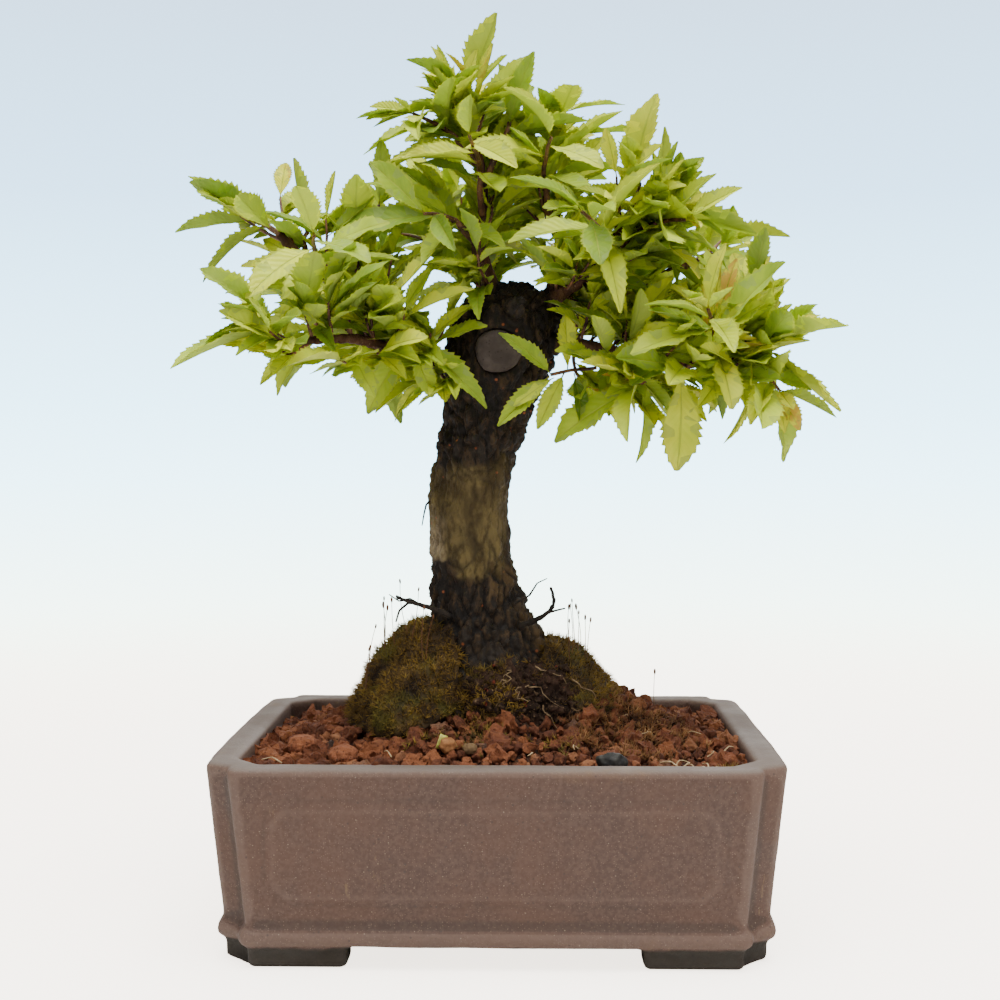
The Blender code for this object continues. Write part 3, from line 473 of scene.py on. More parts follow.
def makeTwigTree():
    # round rods along lines of edges, as thick as each point says
    tree, take, give = startGeometry("twigs", (("Sides", "Int", 8), ("Spacing", "Float", 0.001)))
    line = put(tree, "GeometryNodeMeshToCurve", {"Mesh": take["Geometry"]})
    thick = put(tree, "GeometryNodeSetCurveRadius", {
        "Curve": line.outputs[0], "Radius": named(tree, "girth")})
    even = put(tree, "GeometryNodeResampleCurve", {
        "Curve": thick.outputs[0], "Length": take["Spacing"]}, mode="LENGTH")
    ring = put(tree, "GeometryNodeCurvePrimitiveCircle", {
        "Resolution": take["Sides"], "Radius": 1.0})
    rods = put(tree, "GeometryNodeCurveToMesh", {
        "Curve": even.outputs[0], "Profile Curve": ring.outputs[0], "Fill Caps": True,
        "Scale": put(tree, "GeometryNodeInputRadius").outputs[0]})
    smooth = put(tree, "GeometryNodeSetShadeSmooth", {"Geometry": rods.outputs[0]})
    return endGeometry(tree, take, give, smooth.outputs[0])


def shapeSet(name, items):
    # templates kept out of the scene, picked from by the trees above
    made = bpy.data.collections.new(name)
    for item in items:
        for home in list(item.users_collection):
            home.objects.unlink(item)
        made.objects.link(item)
    return made


mottle = makeMottle()
speckle = makeSpeckle()
scatterTree = makeScatterTree()
leafTree = makeLeafTree()
twigTree = makeTwigTree()
print("node trees ready")


# materials

def clayMaterial():
    made, tree, shader, place = newMaterial("clay")
    patches = mottled(tree, place, 48.0, 0.36, 0.66)
    fine = mottled(tree, place, 850.0, 0.38, 0.66)
    light = speckled(tree, place, 1700.0, 0.34, 0.36)
    tan = speckled(tree, place, 1000.0, 0.06, 0.24)
    dark = speckled(tree, place, 700.0, 0.08, 0.3)
    body = blend(tree, patches, (0.057, 0.029, 0.020), (0.083, 0.045, 0.032))
    body = layer(tree, body, fine, 0.55, (0.110, 0.066, 0.049))
    proud = attribute(tree, "convexity")
    # the proud edges are painted lighter: wear of the clay with a painted highlight
    edge = reach(tree, proud, 0.10, 0.60)
    body = layer(tree, body, edge, 0.38, (0.160, 0.108, 0.084))
    # painted shade: the clay is darkened in its hollows
    hollowShade = reach(tree, proud, -0.12, -0.55)
    body = layer(tree, body, hollowShade, 0.45, (0.030, 0.021, 0.016))
    body = layer(tree, body, light["Mask"], 0.50, (0.20, 0.135, 0.102))
    body = layer(tree, body, tan["Mask"], 0.7, (0.27, 0.20, 0.145))
    body = layer(tree, body, dark["Mask"], 0.6, (0.040, 0.030, 0.026))
    split = put(tree, "ShaderNodeSeparateXYZ", {0: place})
    height = split.outputs["Z"]
    wobble = put(tree, "ShaderNodeTexNoise", {"Vector": place, "Scale": 130.0, "Detail": 4.0})
    shaken = plus(tree, times(tree, wobble.outputs["Fac"], 3.2 * mm), height)
    # painted light: the rim's top is painted a lighter grey, as light from above falls on it
    paintedRimLight = reach(tree, height, rimZ - 1.0 * mm, rimZ - 0.1 * mm)
    body = layer(tree, body, paintedRimLight, 0.7, (0.118, 0.098, 0.084))
    stain = mottled(tree, place, 34.0, 0.56, 0.70)
    near = reach(tree, height, rimZ - 5 * mm, rimZ - 0.5 * mm)
    rust = times(tree, times(tree, stain, near), 0.45)
    body = blend(tree, rust, body, (0.17, 0.095, 0.042))
    drawn = put(tree, "ShaderNodeMapping", {"Vector": place, "Scale": (1.0, 1.0, 0.35)}).outputs[0]
    smear = mottled(tree, drawn, 170.0, 0.66, 0.76)
    body = layer(tree, body, smear, 0.55, (0.24, 0.160, 0.080))
    low = reach(tree, shaken, 14 * mm, 9 * mm)
    grime = times(tree, times(tree, low, stain), 0.5)
    body = blend(tree, grime, body, (0.16, 0.095, 0.050))
    # the feet are painted near black: their own dark colour with painted shade
    feet = reach(tree, shaken, 8.6 * mm, 7.2 * mm)
    body = layer(tree, body, feet, 0.92, (0.012, 0.0095, 0.005))
    rough = reach(tree, patches, 0.0, 1.0, 0.58, 0.78, smooth=False)
    dress(tree, shader, body, rough, 0.42)
    relief = plus(tree, light["Height"], times(tree, fine, 0.8))
    bump(tree, shader, relief, 0.5, 0.12 * mm)
    return made


def grainMaterial(name, stops):
    made, tree, shader, place = newMaterial(name)
    tone = attribute(tree, "tone")
    body = ramp(tree, tone, stops)
    patches = mottled(tree, place, 420.0, 0.40, 0.70)
    body = layer(tree, body, patches, 0.40, (0.215, 0.075, 0.028))
    damp = mottled(tree, place, 160.0, 0.52, 0.68)
    body = layer(tree, body, damp, 0.5, (0.055, 0.022, 0.014))
    # painted shade: small dark specks stand for shaded pits in the crumbs
    pitShade = speckled(tree, place, 1100.0, 0.35, 0.42)
    body = layer(tree, body, pitShade["Mask"], 0.7, (0.030, 0.011, 0.007))
    dress(tree, shader, body, 0.9, 0.25)
    crumbs = put(tree, "ShaderNodeTexVoronoi", {"Vector": place, "Scale": 700.0})
    rough = put(tree, "ShaderNodeTexNoise", {
        "Vector": place, "Scale": 800.0, "Detail": 6.0, "Roughness": 0.75})
    relief = minus(tree, rough.outputs["Fac"], crumbs.outputs["Distance"])
    bump(tree, shader, relief, 1.0, 0.6 * mm)
    return made


def mossMaterial(name, stops, sparkle, fresh):
    made, tree, shader, place = newMaterial(name)
    tone = attribute(tree, "tone")
    tip = attribute(tree, "tip")
    broad = put(tree, "ShaderNodeTexNoise", {
        "Vector": place, "Scale": 120.0, "Detail": 4.0, "Roughness": 0.6})
    lit = plus(tree, times(tree, tone, 0.32), times(tree, tip, 0.34))
    shifted = reach(tree, broad.outputs["Fac"], 0.30, 0.70, -0.08, 0.40, smooth=False)
    body = ramp(tree, plus(tree, lit, shifted), stops)
    green = mottled(tree, place, 75.0, 0.50, 0.66)
    tinted = times(tree, green, plus(tree, times(tree, tip, 0.4), 0.35))
    body = blend(tree, tinted, body, fresh)
    glint = mottled(tree, place, 900.0, 0.60, 0.74)
    shine = times(tree, times(tree, glint, tip), 0.5)
    body = blend(tree, shine, body, sparkle)
    dress(tree, shader, body, 0.8, 0.25)
    fuzz = put(tree, "ShaderNodeTexNoise", {"Vector": place, "Scale": 1400.0, "Detail": 4.0})
    bump(tree, shader, fuzz.outputs["Fac"], 0.8, 0.3 * mm)
    return made


def barkMaterial():
    made, tree, shader, place = newMaterial("treeBark")
    limb = attribute(tree, "limb")
    crackShade = attribute(tree, "crackShade")
    split = put(tree, "ShaderNodeSeparateXYZ", {0: place})
    height = split.outputs["Z"]
    stretch = put(tree, "ShaderNodeMapping", {"Vector": place, "Scale": (1.0, 1.0, 0.45)}).outputs[0]
    patches = mottled(tree, stretch, 110.0, 0.40, 0.62)
    small = mottled(tree, stretch, 480.0, 0.44, 0.66)
    wobble = put(tree, "ShaderNodeTexNoise", {"Vector": place, "Scale": 95.0, "Detail": 5.0})
    shake = wobble.outputs["Fac"]
    shaken = plus(tree, times(tree, shake, 26 * mm), height)
    body = blend(tree, patches, (0.0050, 0.0036, 0.0026), (0.0150, 0.0105, 0.0068))
    body = layer(tree, body, small, 0.75, (0.070, 0.045, 0.024))
    smoothLow = reach(tree, shaken, rimZ + 63 * mm, rimZ + 67 * mm)
    smoothHigh = reach(tree, shaken, rimZ + 102 * mm, rimZ + 95 * mm)
    zone = times(tree, smoothLow, smoothHigh)
    olive = blend(tree, patches, (0.055, 0.038, 0.012), (0.130, 0.096, 0.034))
    sideways = plus(tree, times(tree, shake, 5 * mm), split.outputs["X"])
    # painted highlight: the left side of the smooth stretch is painted pale where light falls on it
    left = reach(tree, sideways, potFoot.x - 13 * mm, potFoot.x - 17 * mm)
    left = times(tree, left, reach(tree, shaken, rimZ + 82 * mm, rimZ + 74 * mm))
    olive = layer(tree, olive, left, 0.75, (0.34, 0.27, 0.165))
    olive = layer(tree, olive, small, 0.55, (0.035, 0.025, 0.013))
    edge = reach(tree, sideways, potFoot.x + 4 * mm, potFoot.x + 6 * mm)
    body = blend(tree, times(tree, zone, reach(tree, edge, 0, 1, 0.93, 0.1)), body, olive)
    tanMask = mottled(tree, stretch, 70.0, 0.47, 0.56)
    lower = reach(tree, height, rimZ + 56 * mm, rimZ + 50 * mm)
    right = reach(tree, split.outputs["X"], potFoot.x - 9 * mm, potFoot.x - 2 * mm)
    tan = times(tree, times(tree, lower, right), tanMask)
    body = layer(tree, body, tan, 0.8, (0.085, 0.054, 0.023))
    moth = speckled(tree, place, 480.0, 0.13, 0.30)
    rare = times(tree, moth["Mask"], reach(tree, shake, 0.47, 0.53))
    body = layer(tree, body, rare, 0.85, (0.26, 0.075, 0.026))
    red = blend(tree, patches, (0.036, 0.014, 0.009), (0.098, 0.042, 0.022))
    red = layer(tree, red, small, 0.5, (0.15, 0.085, 0.045))
    rings = speckled(tree, place, 950.0, 0.12, 0.34)
    red = layer(tree, red, rings["Mask"], 0.6, (0.24, 0.17, 0.10))
    body = blend(tree, limb, body, red)
    # painted shade in the cracks between the bark plates
    body = layer(tree, body, crackShade, 0.85, (0.005, 0.004, 0.0035))
    rough = reach(tree, small, 0.0, 1.0, 0.52, 0.85, smooth=False)
    dress(tree, shader, body, rough, 0.18)
    grain = put(tree, "ShaderNodeTexNoise", {
        "Vector": stretch, "Scale": 900.0, "Detail": 6.0, "Roughness": 0.7})
    relief = plus(tree, grain.outputs["Fac"], small)
    bump(tree, shader, relief, 0.8, 0.40 * mm)
    return made


def twigMaterial():
    made, tree, shader, place = newMaterial("twigBark")
    patches = mottled(tree, place, 240.0, 0.38, 0.64)
    body = blend(tree, patches, (0.060, 0.022, 0.012), (0.20, 0.085, 0.035))
    spots = speckled(tree, place, 1300.0, 0.12)
    body = layer(tree, body, spots["Mask"], 0.7, (0.42, 0.30, 0.18))
    tree.links.new(body, shader.inputs["Base Color"])
    shader.inputs["Roughness"].default_value = 0.55
    bump(tree, shader, spots["Height"], 0.4, 0.15 * mm)
    return made


def leafMaterial():
    made, tree, shader, place = newMaterial("leafBlade")
    uv = put(tree, "ShaderNodeUVMap", uv_map="leafMap").outputs[0]
    split = put(tree, "ShaderNodeSeparateXYZ", {0: uv})
    along = split.outputs["X"]  # 0 at the stalk, 1 at the tip
    across = minus(tree, split.outputs["Y"], 0.5)
    half = put(tree, "ShaderNodeMath", {0: across}, operation="ABSOLUTE").outputs[0]
    out = times(tree, half, 2.0)  # 0 on the midrib, 1 at the teeth
    tone = attribute(tree, "tone")
    under = attribute(tree, "under")
    patches = mottled(tree, place, 120.0, 0.35, 0.70)
    patchy = reach(tree, patches, 0.0, 1.0, -0.07, 0.07, smooth=False)
    body = ramp(tree, plus(tree, tone, patchy), leafTones)
    slope = minus(tree, along, times(tree, out, 0.22))
    stripe = times(tree, slope, 68.0)
    wave = put(tree, "ShaderNodeMath", {0: stripe}, operation="SINE").outputs[0]
    veins = reach(tree, wave, 0.84, 1.0)
    between = reach(tree, out, 1.0, 0.5)
    veinMask = times(tree, times(tree, veins, between), 0.42)
    pale = blend(tree, 0.5, body, (0.60, 0.68, 0.05))
    body = blend(tree, veinMask, body, pale)
    rib = reach(tree, out, 0.085, 0.03)
    body = layer(tree, body, rib, 0.7, (0.52, 0.60, 0.08))
    margin = reach(tree, out, 0.84, 0.96)
    body = layer(tree, body, margin, 0.65, (0.76, 0.80, 0.04))
    grey = blend(tree, 0.50, body, (0.34, 0.43, 0.15))
    body = blend(tree, under, body, grey)
    stem = reach(tree, along, 0.075, 0.045)
    body = layer(tree, body, stem, 0.8, (0.36, 0.25, 0.06))
    rough = reach(tree, under, 0.0, 1.0, 0.46, 0.75, smooth=False)
    dress(tree, shader, body, rough, 0.24)
    pleat = times(tree, wave, 0.35)
    relief = minus(tree, times(tree, patches, 0.2), pleat)
    bump(tree, shader, minus(tree, relief, rib), 0.8, 0.16 * mm)
    lit = blend(tree, 1.0, body, (1.0, 1.0, 0.55), mode="MULTIPLY")
    glow = put(tree, "ShaderNodeBsdfTranslucent", {"Color": lit})
    both = put(tree, "ShaderNodeMixShader", {0: 0.45, 1: shader.outputs[0], 2: glow.outputs[0]})
    tree.links.new(both.outputs[0], tree.nodes["Material Output"].inputs["Surface"])
    return made


def plainMaterial(name, first, second, scale, roughness, metallic=0.0, depth=0.15 * mm):
    # two tones in patches with fine relief
    made, tree, shader, place = newMaterial(name)
    patches = mottled(tree, place, scale, 0.36, 0.64)
    specks = speckled(tree, place, scale * 7, 0.14)
    body = blend(tree, patches, first, second)
    body = layer(tree, body, specks["Mask"], 0.5, [c * 0.35 for c in first])
    dress(tree, shader, body, roughness, 0.25)
    shader.inputs["Metallic"].default_value = metallic
    bump(tree, shader, specks["Height"], 0.5, depth)
    return made


def floorMaterial():
    # pale, fading into the backdrop away from the pot
    made, tree, shader, place = newMaterial("paleFloor")
    patches = mottled(tree, place, 3.0, 0.3, 0.7)
    body = blend(tree, patches, (0.90, 0.85, 0.80), (0.92, 0.88, 0.84))
    tree.links.new(body, shader.inputs["Base Color"])
    shader.inputs["Roughness"].default_value = 0.75
    looked = put(tree, "ShaderNodeLightPath").outputs["Is Camera Ray"]
    lift = put(tree, "ShaderNodeEmission", {
        "Color": (1.0, 0.91, 0.80, 1.0), "Strength": times(tree, looked, 3.6)})
    lit = put(tree, "ShaderNodeAddShader", {0: shader.outputs[0], 1: lift.outputs[0]})
    away = put(tree, "ShaderNodeVectorMath", {0: place}, operation="LENGTH").outputs["Value"]
    clear = put(tree, "ShaderNodeBsdfTransparent")
    fade = reach(tree, away, 0.22, 1.0)
    both = put(tree, "ShaderNodeMixShader", {0: fade, 1: lit.outputs[0], 2: clear.outputs[0]})
    tree.links.new(both.outputs[0], tree.nodes["Material Output"].inputs["Surface"])
    return made


def makeFloor():
    shape = bmesh.new()
    bmesh.ops.create_circle(shape, cap_ends=True, segments=96, radius=6.0)
    floor = toPiece("floor", shape, floorMaterial(), smooth=False)


# pot

pot = {"voxel": 1.05 * mm, "ease": 3, "waver": 0.20 * mm, "grit": 0.035 * mm, "sole": 0.8 * mm}


def makePot():
    piece = toPiece("potBody", merged("pot"), clayMaterial(), smooth=False)
    reskin(piece, pot["voxel"], pot["ease"])
    mesh = piece.data
    # how far each point stands out, for the painted highlight on the edges and the painted shade in the
    # hollows of the clay
    setAttribute(mesh, "convexity", convexity(mesh) / (0.06 * mm))
    places = coords(mesh)
    normals = vertNormals(mesh)
    for k, place in enumerate(places):
        if place[2] > pot["sole"]:
            scaled = Vector(place) / mm
            move = noise.noise(scaled * 0.07) * pot["waver"] + noise.noise(scaled * 0.7) * pot["grit"]
            places[k] += normals[k] * move
    mesh.vertices.foreach_set("co", places.ravel())
    mesh.shade_smooth()
    settle(piece, "clay", "pot")
    print("pot:", len(mesh.polygons), "faces")


# wood: trunk and branches grown into one skin

wood = {
    "voxel": 0.62 * mm,
    "collar": 1.18,
    "plate": 1.5 * mm,
    "flake": 0.75 * mm,
    "lumps": 1.3 * mm,
    "fine": 0.34 * mm,
    "limbBark": 0.22 * mm,
    "limbStart": 0.7 * mm,  # gap from the trunk at which a branch's own bark begins
    "limbFade": 2.2 * mm,
    "seal": 8.5 * mm,  # reach of the calm bark round the wound seal
    "plateGrain": (0.24, 0.095),  # plates to the mm, across and up
    "flakeGrain": (0.62, 0.33),
    "bare": 69,  # height in mm above the rim of the smooth stretch
    "bareReach": 15,
}


def nearestVerts(shape, tree, limit):
    # vertices closest to a surface
    gaps = [(tree.find_nearest(vert.co)[3], vert) for vert in shape.verts]
    least = min(gap for gap, vert in gaps)
    return [vert.co.copy() for gap, vert in gaps if gap < least + limit]


def makeWood():
    trunkShape = merged("trunk")
    trunkTree = BVHTree.FromBMesh(trunkShape)
    whole = bmesh.new()
    addTo(whole, trunkShape)
    for name in branchNames:
        shape = merged(name)
        foot = nearestVerts(shape, trunkTree, 1.2 * mm)
        centre = sum(foot, Vector()) / len(foot)
        girth = sum((point - centre).length for point in foot) / len(foot)
        ball = bmesh.ops.create_icosphere(shape, subdivisions=2, radius=girth * wood["collar"])
        bmesh.ops.translate(shape, verts=ball["verts"], vec=centre)
        addTo(whole, shape)
    piece = toPiece("treeWood", whole, barkMaterial())
    reskin(piece, wood["voxel"], 4)
    mesh = piece.data
    places = coords(mesh)
    normals = vertNormals(mesh)
    limbs = np.zeros(len(places))
    crackShades = np.zeros(len(places))
    sealLow, sealHigh = [Vector(corner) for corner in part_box("wound_seal")]
    sealMiddle = (sealLow + sealHigh) / 2
    for k in range(len(places)):
        place = Vector(places[k])
        gap = trunkTree.find_nearest(place)[3]
        limb = clamp((gap - wood["limbStart"]) / wood["limbFade"])
        up = (place.z - rimZ) / mm
        scaled = place / mm
        warp = Vector([noise.noise(scaled * 0.12 + Vector((0, 0, far))) for far in (0, 40, 80)]) * 2.2
        across, upward = wood["plateGrain"]
        plates = noise.voronoi(Vector((
            (scaled.x + warp.x) * across, (scaled.y + warp.y) * across,
            (scaled.z + warp.z) * upward)))[0]
        plate = min(1.0, (plates[1] - plates[0]) / 0.30)
        across, upward = wood["flakeGrain"]
        flakes = noise.voronoi(Vector((scaled.x * across, scaled.y * across, scaled.z * upward)))[0]
        flake = min(1.0, (flakes[1] - flakes[0]) / 0.35)
        rough = 1.0 - 0.80 * math.exp(-((up - wood["bare"]) / wood["bareReach"]) ** 2)
        broad = noise.noise(scaled * 0.13 + Vector((5, 0, 0))) * wood["lumps"]
        tiny = noise.noise(scaled * 1.1) * wood["fine"]
        near = Vector((place.x - sealMiddle.x, place.z - sealMiddle.z)).length
        calm = 1.0
        if place.y < sealMiddle.y + 4 * mm:
            calm = clamp(near / wood["seal"] - 0.85)
        bark = (plate - 0.7) * wood["plate"] + (flake - 0.6) * wood["flake"]
        bark = (bark * rough + broad) * calm + tiny
        twiggy = noise.noise(scaled * 0.55) * wood["limbBark"] * 1.6 + tiny * 0.6
        limbs[k] = limb
        # painted shade: darker where the bark plates part, in the cracks between them
        crackShades[k] = max(0.0, 1.0 - plate * 1.7) * (1 - limb) * rough * calm
        places[k] += normals[k] * (bark * (1 - limb) + twiggy * limb)
    mesh.vertices.foreach_set("co", places.ravel())
    setAttribute(mesh, "limb", limbs)
    setAttribute(mesh, "crackShade", crackShades)
    mesh.shade_smooth()
    settle(piece, "bark", "trunk", *branchNames)
    print("wood:", len(mesh.polygons), "faces")


# leaves

leafTones = (
    (0.00, (0.120, 0.240, 0.036)), (0.25, (0.320, 0.480, 0.045)), (0.50, (0.580, 0.710, 0.055)),
    (0.75, (0.790, 0.850, 0.065)), (0.96, (0.870, 0.850, 0.075)), (1.00, (0.740, 0.500, 0.080)))
leaf = {
    "rows": 12,  # teeth on each side
    "tooth": 0.07,
    "notch": 0.13,
    "lean": 0.90,  # how far forward in its row a tooth points
    "thickness": 0.008,
    "stalk": 0.09,  # share of the length that is stalk
    "least": 8 * mm,  # lengths and gaps at the rib by which a frame's leaf is told
    "most": 45 * mm,
    "ribLeast": 0.3 * mm,
    "ribMost": 1.1 * mm,
}
leafKinds = (
    # width against length, fold, bend, sideways sweep, ripple and where it is widest
    (0.35, 0.52, 0.16, 0.00, 0.6, 0.50),
    (0.30, 0.72, 0.10, 0.05, 1.0, 0.46),
    (0.40, 0.36, 0.24, -0.05, 1.2, 0.52),
    (0.33, 0.85, 0.30, 0.03, 0.5, 0.48),
    (0.37, 0.55, -0.05, -0.03, 0.9, 0.55),
    (0.44, 0.40, 0.12, 0.02, 1.3, 0.56),
    (0.29, 0.60, 0.34, -0.06, 0.8, 0.44),
    (0.42, 0.26, 0.20, 0.04, 1.6, 0.60),
)


def leafHalf(t, widest):
    # half width against the greatest, from the blade's foot to its pointed tip
    eased = clamp(t) ** (math.log(0.5) / math.log(widest))
    return 0.07 + 0.93 * math.sin(math.pi * eased) ** 0.85


def makeLeafKind(index, width, fold, bend, sweep, ripple, widest):
    # one unit long along +Y with its upper side up, saw-toothed towards the tip
    shape = bmesh.new()
    uvs = {}
    rows = leaf["rows"]
    blade = 1 - leaf["stalk"]

    def corner(s, out, across, drop=0.0):
        lift = fold * abs(across) - bend * s * s - drop
        lift += 0.014 * ripple * math.sin(s * 17 + index) * abs(out)
        vert = shape.verts.new((across + sweep * s * s, s, lift))
        uvs[vert] = (s, 0.5 + out / 2)
        return vert

    def side(way):
        edge = []
        for row in range(rows):
            s = leaf["stalk"] + blade * row / rows
            reachOut = width / 2 * leafHalf(row / rows, widest) * (1 - leaf["notch"] * (row > 0))
            edge.append(corner(s, 0.92 * way, reachOut * way))
            t = (row + leaf["lean"]) / rows
            reachOut = width / 2 * leafHalf(t, widest) * (1 + leaf["tooth"])
            edge.append(corner(leaf["stalk"] + blade * t, way, reachOut * way))
        return edge

    ribs = [corner(leaf["stalk"] + blade * row / rows, 0, 0.0) for row in range(rows + 1)]
    keels = [corner(leaf["stalk"] + blade * row / rows, 0, 0.0, leaf["thickness"])
             for row in range(0, rows, 2)]
    tip = ribs[-1]
    lowFaces = []
    stalk = [shape.verts.new(spot) for spot in (
        (-0.012, 0.0, 0.0), (0.0, 0.0, 0.010), (0.012, 0.0, 0.0), (0.0, 0.0, -0.012))]
    for vert in stalk:
        uvs[vert] = (0.0, 0.5)
    left, right = side(-1), side(1)
    for edge, way in ((left, -1), (right, 1)):
        margin = edge + [tip]
        for row in range(rows):
            upper = [ribs[row]] + margin[2 * row:2 * row + 3]
            if row < rows - 1:
                upper.append(ribs[row + 1])
            shape.faces.new(upper[::way])
        for row in range(0, rows, 2):
            lower = [keels[row // 2]] + margin[2 * row:2 * row + 5]
            if row < rows - 2:
                lower.append(keels[row // 2 + 1])
            lowFaces.append(shape.faces.new(lower[::-way]))
    foot = [left[0], ribs[0], right[0], keels[0]]
    for k in range(4):
        shape.faces.new((stalk[k], stalk[k - 3], foot[k - 3], foot[k]))
    shape.faces.new(stalk)
    bmesh.ops.recalc_face_normals(shape, faces=shape.faces)
    lowFaces = set(lowFaces)
    for edge in shape.edges:
        if len(edge.link_faces) == 2:
            sides = [face in lowFaces for face in edge.link_faces]
            onRib = edge.verts[0] in ribs and edge.verts[1] in ribs
            edge.smooth = sides[0] == sides[1] and not onRib
    layer = shape.loops.layers.uv.new("leafMap")
    for face in shape.faces:
        for loop in face.loops:
            loop[layer].uv = uvs[loop.vert]
    below = [1.0 if face in lowFaces else 0.0 for face in shape.faces]
    item = toPiece("leafKind%d" % index, shape)
    setAttribute(item.data, "under", below, domain="FACE")
    return item


crown = {
    "twigBase": 1.15 * mm,
    "twigTip": 0.5 * mm,
    "leafLength": 25 * mm,
    "extra": 3,  # further leaves along each of the frame's twigs
    "buds": 3,
    "sprigs": 205,  # small side twigs that fill the crown
    "sprigLength": (8 * mm, 19 * mm),
    "sprigLeaves": (5, 8),
    "stray": (2.6 * mm, 4.5 * mm),  # how far a leaf may pass the frame's outline, front and side
    "clear": 0.8 * mm,
    "seed": 11,
}
# sprigs that hang before the trunk's head, in mm from the ground under the pot:
# the twig's points, then each leaf's foot, tip and tone
frontSprigs = (
    (((-30, -12, 180), (-26, -18, 179), (-23, -21, 177)), (
        ((-24, -21, 178), (-2, -25, 162.5), 0.34), ((-26, -20, 177), (-19, -25, 163), 0.50),
        ((-28, -19, 177), (-41, -24, 159), 0.45), ((-25, -20, 179), (-36, -23, 190), 0.62))),
    (((30, -10, 171), (22, -17, 170), (16, -20, 168.5)), (
        ((16, -21, 168.5), (3.5, -24, 183), 0.30), ((15.5, -21, 168), (0.5, -25, 153), 0.42),
        ((17, -21, 167.5), (5, -26, 160.5), 0.66), ((20, -19, 169), (12, -25, 153), 0.55),
        ((23, -18, 169), (27, -22, 152), 0.12), ((21, -18, 170), (21, -22, 186), 0.78))),
)


def readLeaves(name):
    # base, tip, upper side and length of each leaf on a CAD shoot, read from its own corners
    shape = merged(name)
    found = []
    for tip in shape.verts:
        around = [edge.other_vert(tip) for edge in tip.link_edges]
        if len(around) != 4:
            continue
        pairs = [(a, b) for k, a in enumerate(around) for b in around[k + 1:]]
        rib = min(pairs, key=lambda pair: (pair[0].co - pair[1].co).length)
        if not leaf["ribLeast"] < (rib[0].co - rib[1].co).length < leaf["ribMost"]:
            continue
        sides = [vert for vert in around if vert not in rib]
        first, second = [{edge.other_vert(vert) for edge in vert.link_edges} for vert in sides]
        inner = [vert for vert in first & second if vert != tip and vert not in rib]
        if len(inner) != 2:
            continue
        near = (inner[0].co + inner[1].co) / 2
        far = (rib[0].co + rib[1].co) / 2
        end = tip.co.copy()
        # the rib is a parabola through points at 0.34, 0.70 and 1.0 of the length
        base = near * (0.70 / (0.36 * 0.66)) - far * (0.34 / (0.36 * 0.30))
        base += end * (0.34 * 0.70 / (0.66 * 0.30))
        middle = (sides[0].co + sides[1].co) / 2
        aim = end - base
        length = aim.length
        face = middle - far
        face -= aim.normalized() * face.dot(aim.normalized())
        if face.length < 0.05 * mm or not leaf["least"] < length < leaf["most"]:
            continue
        found.append({"base": base, "aim": aim.normalized(), "face": face.normalized(),
                      "length": length})
    shape.free()
    return found


def woodTrees():
    whole = bmesh.new()
    trees = []
    for name in branchNames + ["trunk"]:
        spare = addTo(whole, merged(name))
        corners = [vert.co.copy() for vert in spare.vertices]
        trees.append(BVHTree.FromPolygons(corners, [tuple(face.vertices) for face in spare.polygons]))
    tree = BVHTree.FromBMesh(whole)
    whole.free()
    return tree, trees


def inWood(point, trees):
    for tree in trees:
        hit, normal, _, gap = tree.find_nearest(point)
        if gap < crown["clear"] or (point - hit).dot(normal) < 0:
            return True
    return False


def crownOutline():
    # the frame's own crown, flattened from the front and from the side
    points = []
    for name in shootNames + branchNames:
        shape = merged(name)
        points += [vert.co.copy() for vert in shape.verts]
        points += [face.calc_center_median() for face in shape.faces]
        points += [edge.verts[0].co.lerp(edge.verts[1].co, 0.5) for edge in shape.edges]
        shape.free()
    flats = []
    for axis, limit in zip((1, 0), crown["stray"]):
        tree = KDTree(len(points))
        for k, point in enumerate(points):
            flat = point.copy()
            flat[axis] = 0.0
            tree.insert(flat, k)
        tree.balance()
        flats.append((axis, tree, limit))
    return flats


def inCrown(point, outline):
    for axis, tree, limit in outline:
        flat = point.copy()
        flat[axis] = 0.0
        if tree.find(flat)[2] > limit:
            return False
    return True


def twigPath(name, found, tree):
    # from inside the branch through the leaves' feet, in order away from the branch
    shape = merged(name)
    foot = nearestVerts(shape, tree, 0.8 * mm)
    shape.free()
    start = sum(foot, Vector()) / len(foot)
    hit = tree.find_nearest(start)[0]
    inward = (hit - start).normalized() * 1.4 * mm
    feet = sorted((item["base"] for item in found), key=lambda point: (point - start).length)
    path = [start + inward, start]
    for point in feet:
        if (point - path[-1]).length > 1.2 * mm:
            path.append(point)
    return path


def alongPath(path, share):
    lengths = [(b - a).length for a, b in zip(path, path[1:])]
    goal = share * sum(lengths)
    for k, length in enumerate(lengths):
        if goal <= length or k == len(lengths) - 1:
            step = path[k + 1] - path[k]
            return path[k] + step * min(1.0, goal / max(length, 1e-9)), step.normalized()
        goal -= length
    return path[-1], (path[-1] - path[-2]).normalized()


def newLeaf(place, ahead, side, spread, length, chance):
    # a leaf set off to one side of a twig, its face turned up and a little forward
    flat = Vector((0.0, 0.0, 1.0)).cross(ahead)
    flat = flat.normalized() if flat.length > 0.2 else Vector((1.0, 0.0, 0.0))
    outward = Matrix.Rotation(chance.uniform(-0.5, 0.5), 3, ahead) @ (flat * side)
    aim = (ahead * math.cos(spread) + outward * math.sin(spread)).normalized()
    face = Vector((0.0, -0.50, 0.9)) + ahead * 0.35 + jitter(chance, 0.45)
    return {"base": place, "aim": aim, "face": face, "length": length}


def grow(leaves, outline, trees, chance, place, ahead, side, spread, size, tone):
    # tries a few leaves and keeps the first that stays in the crown and out of the wood
    for k in range(6):
        turned = spread + math.radians(chance.uniform(-12, 12)) * (1 + k * 0.4)
        item = newLeaf(place, ahead, side * (-1) ** (k // 3), turned, size * (1 - 0.07 * k), chance)
        end = item["base"] + item["aim"] * item["length"]
        middle = item["base"] + item["aim"] * item["length"] * 0.55
        if not inCrown(end, outline) or inWood(end, trees) or inWood(middle, trees):
            continue
        item["tone"] = tone + chance.uniform(-0.26, 0.22)
        leaves.append(item)
        break


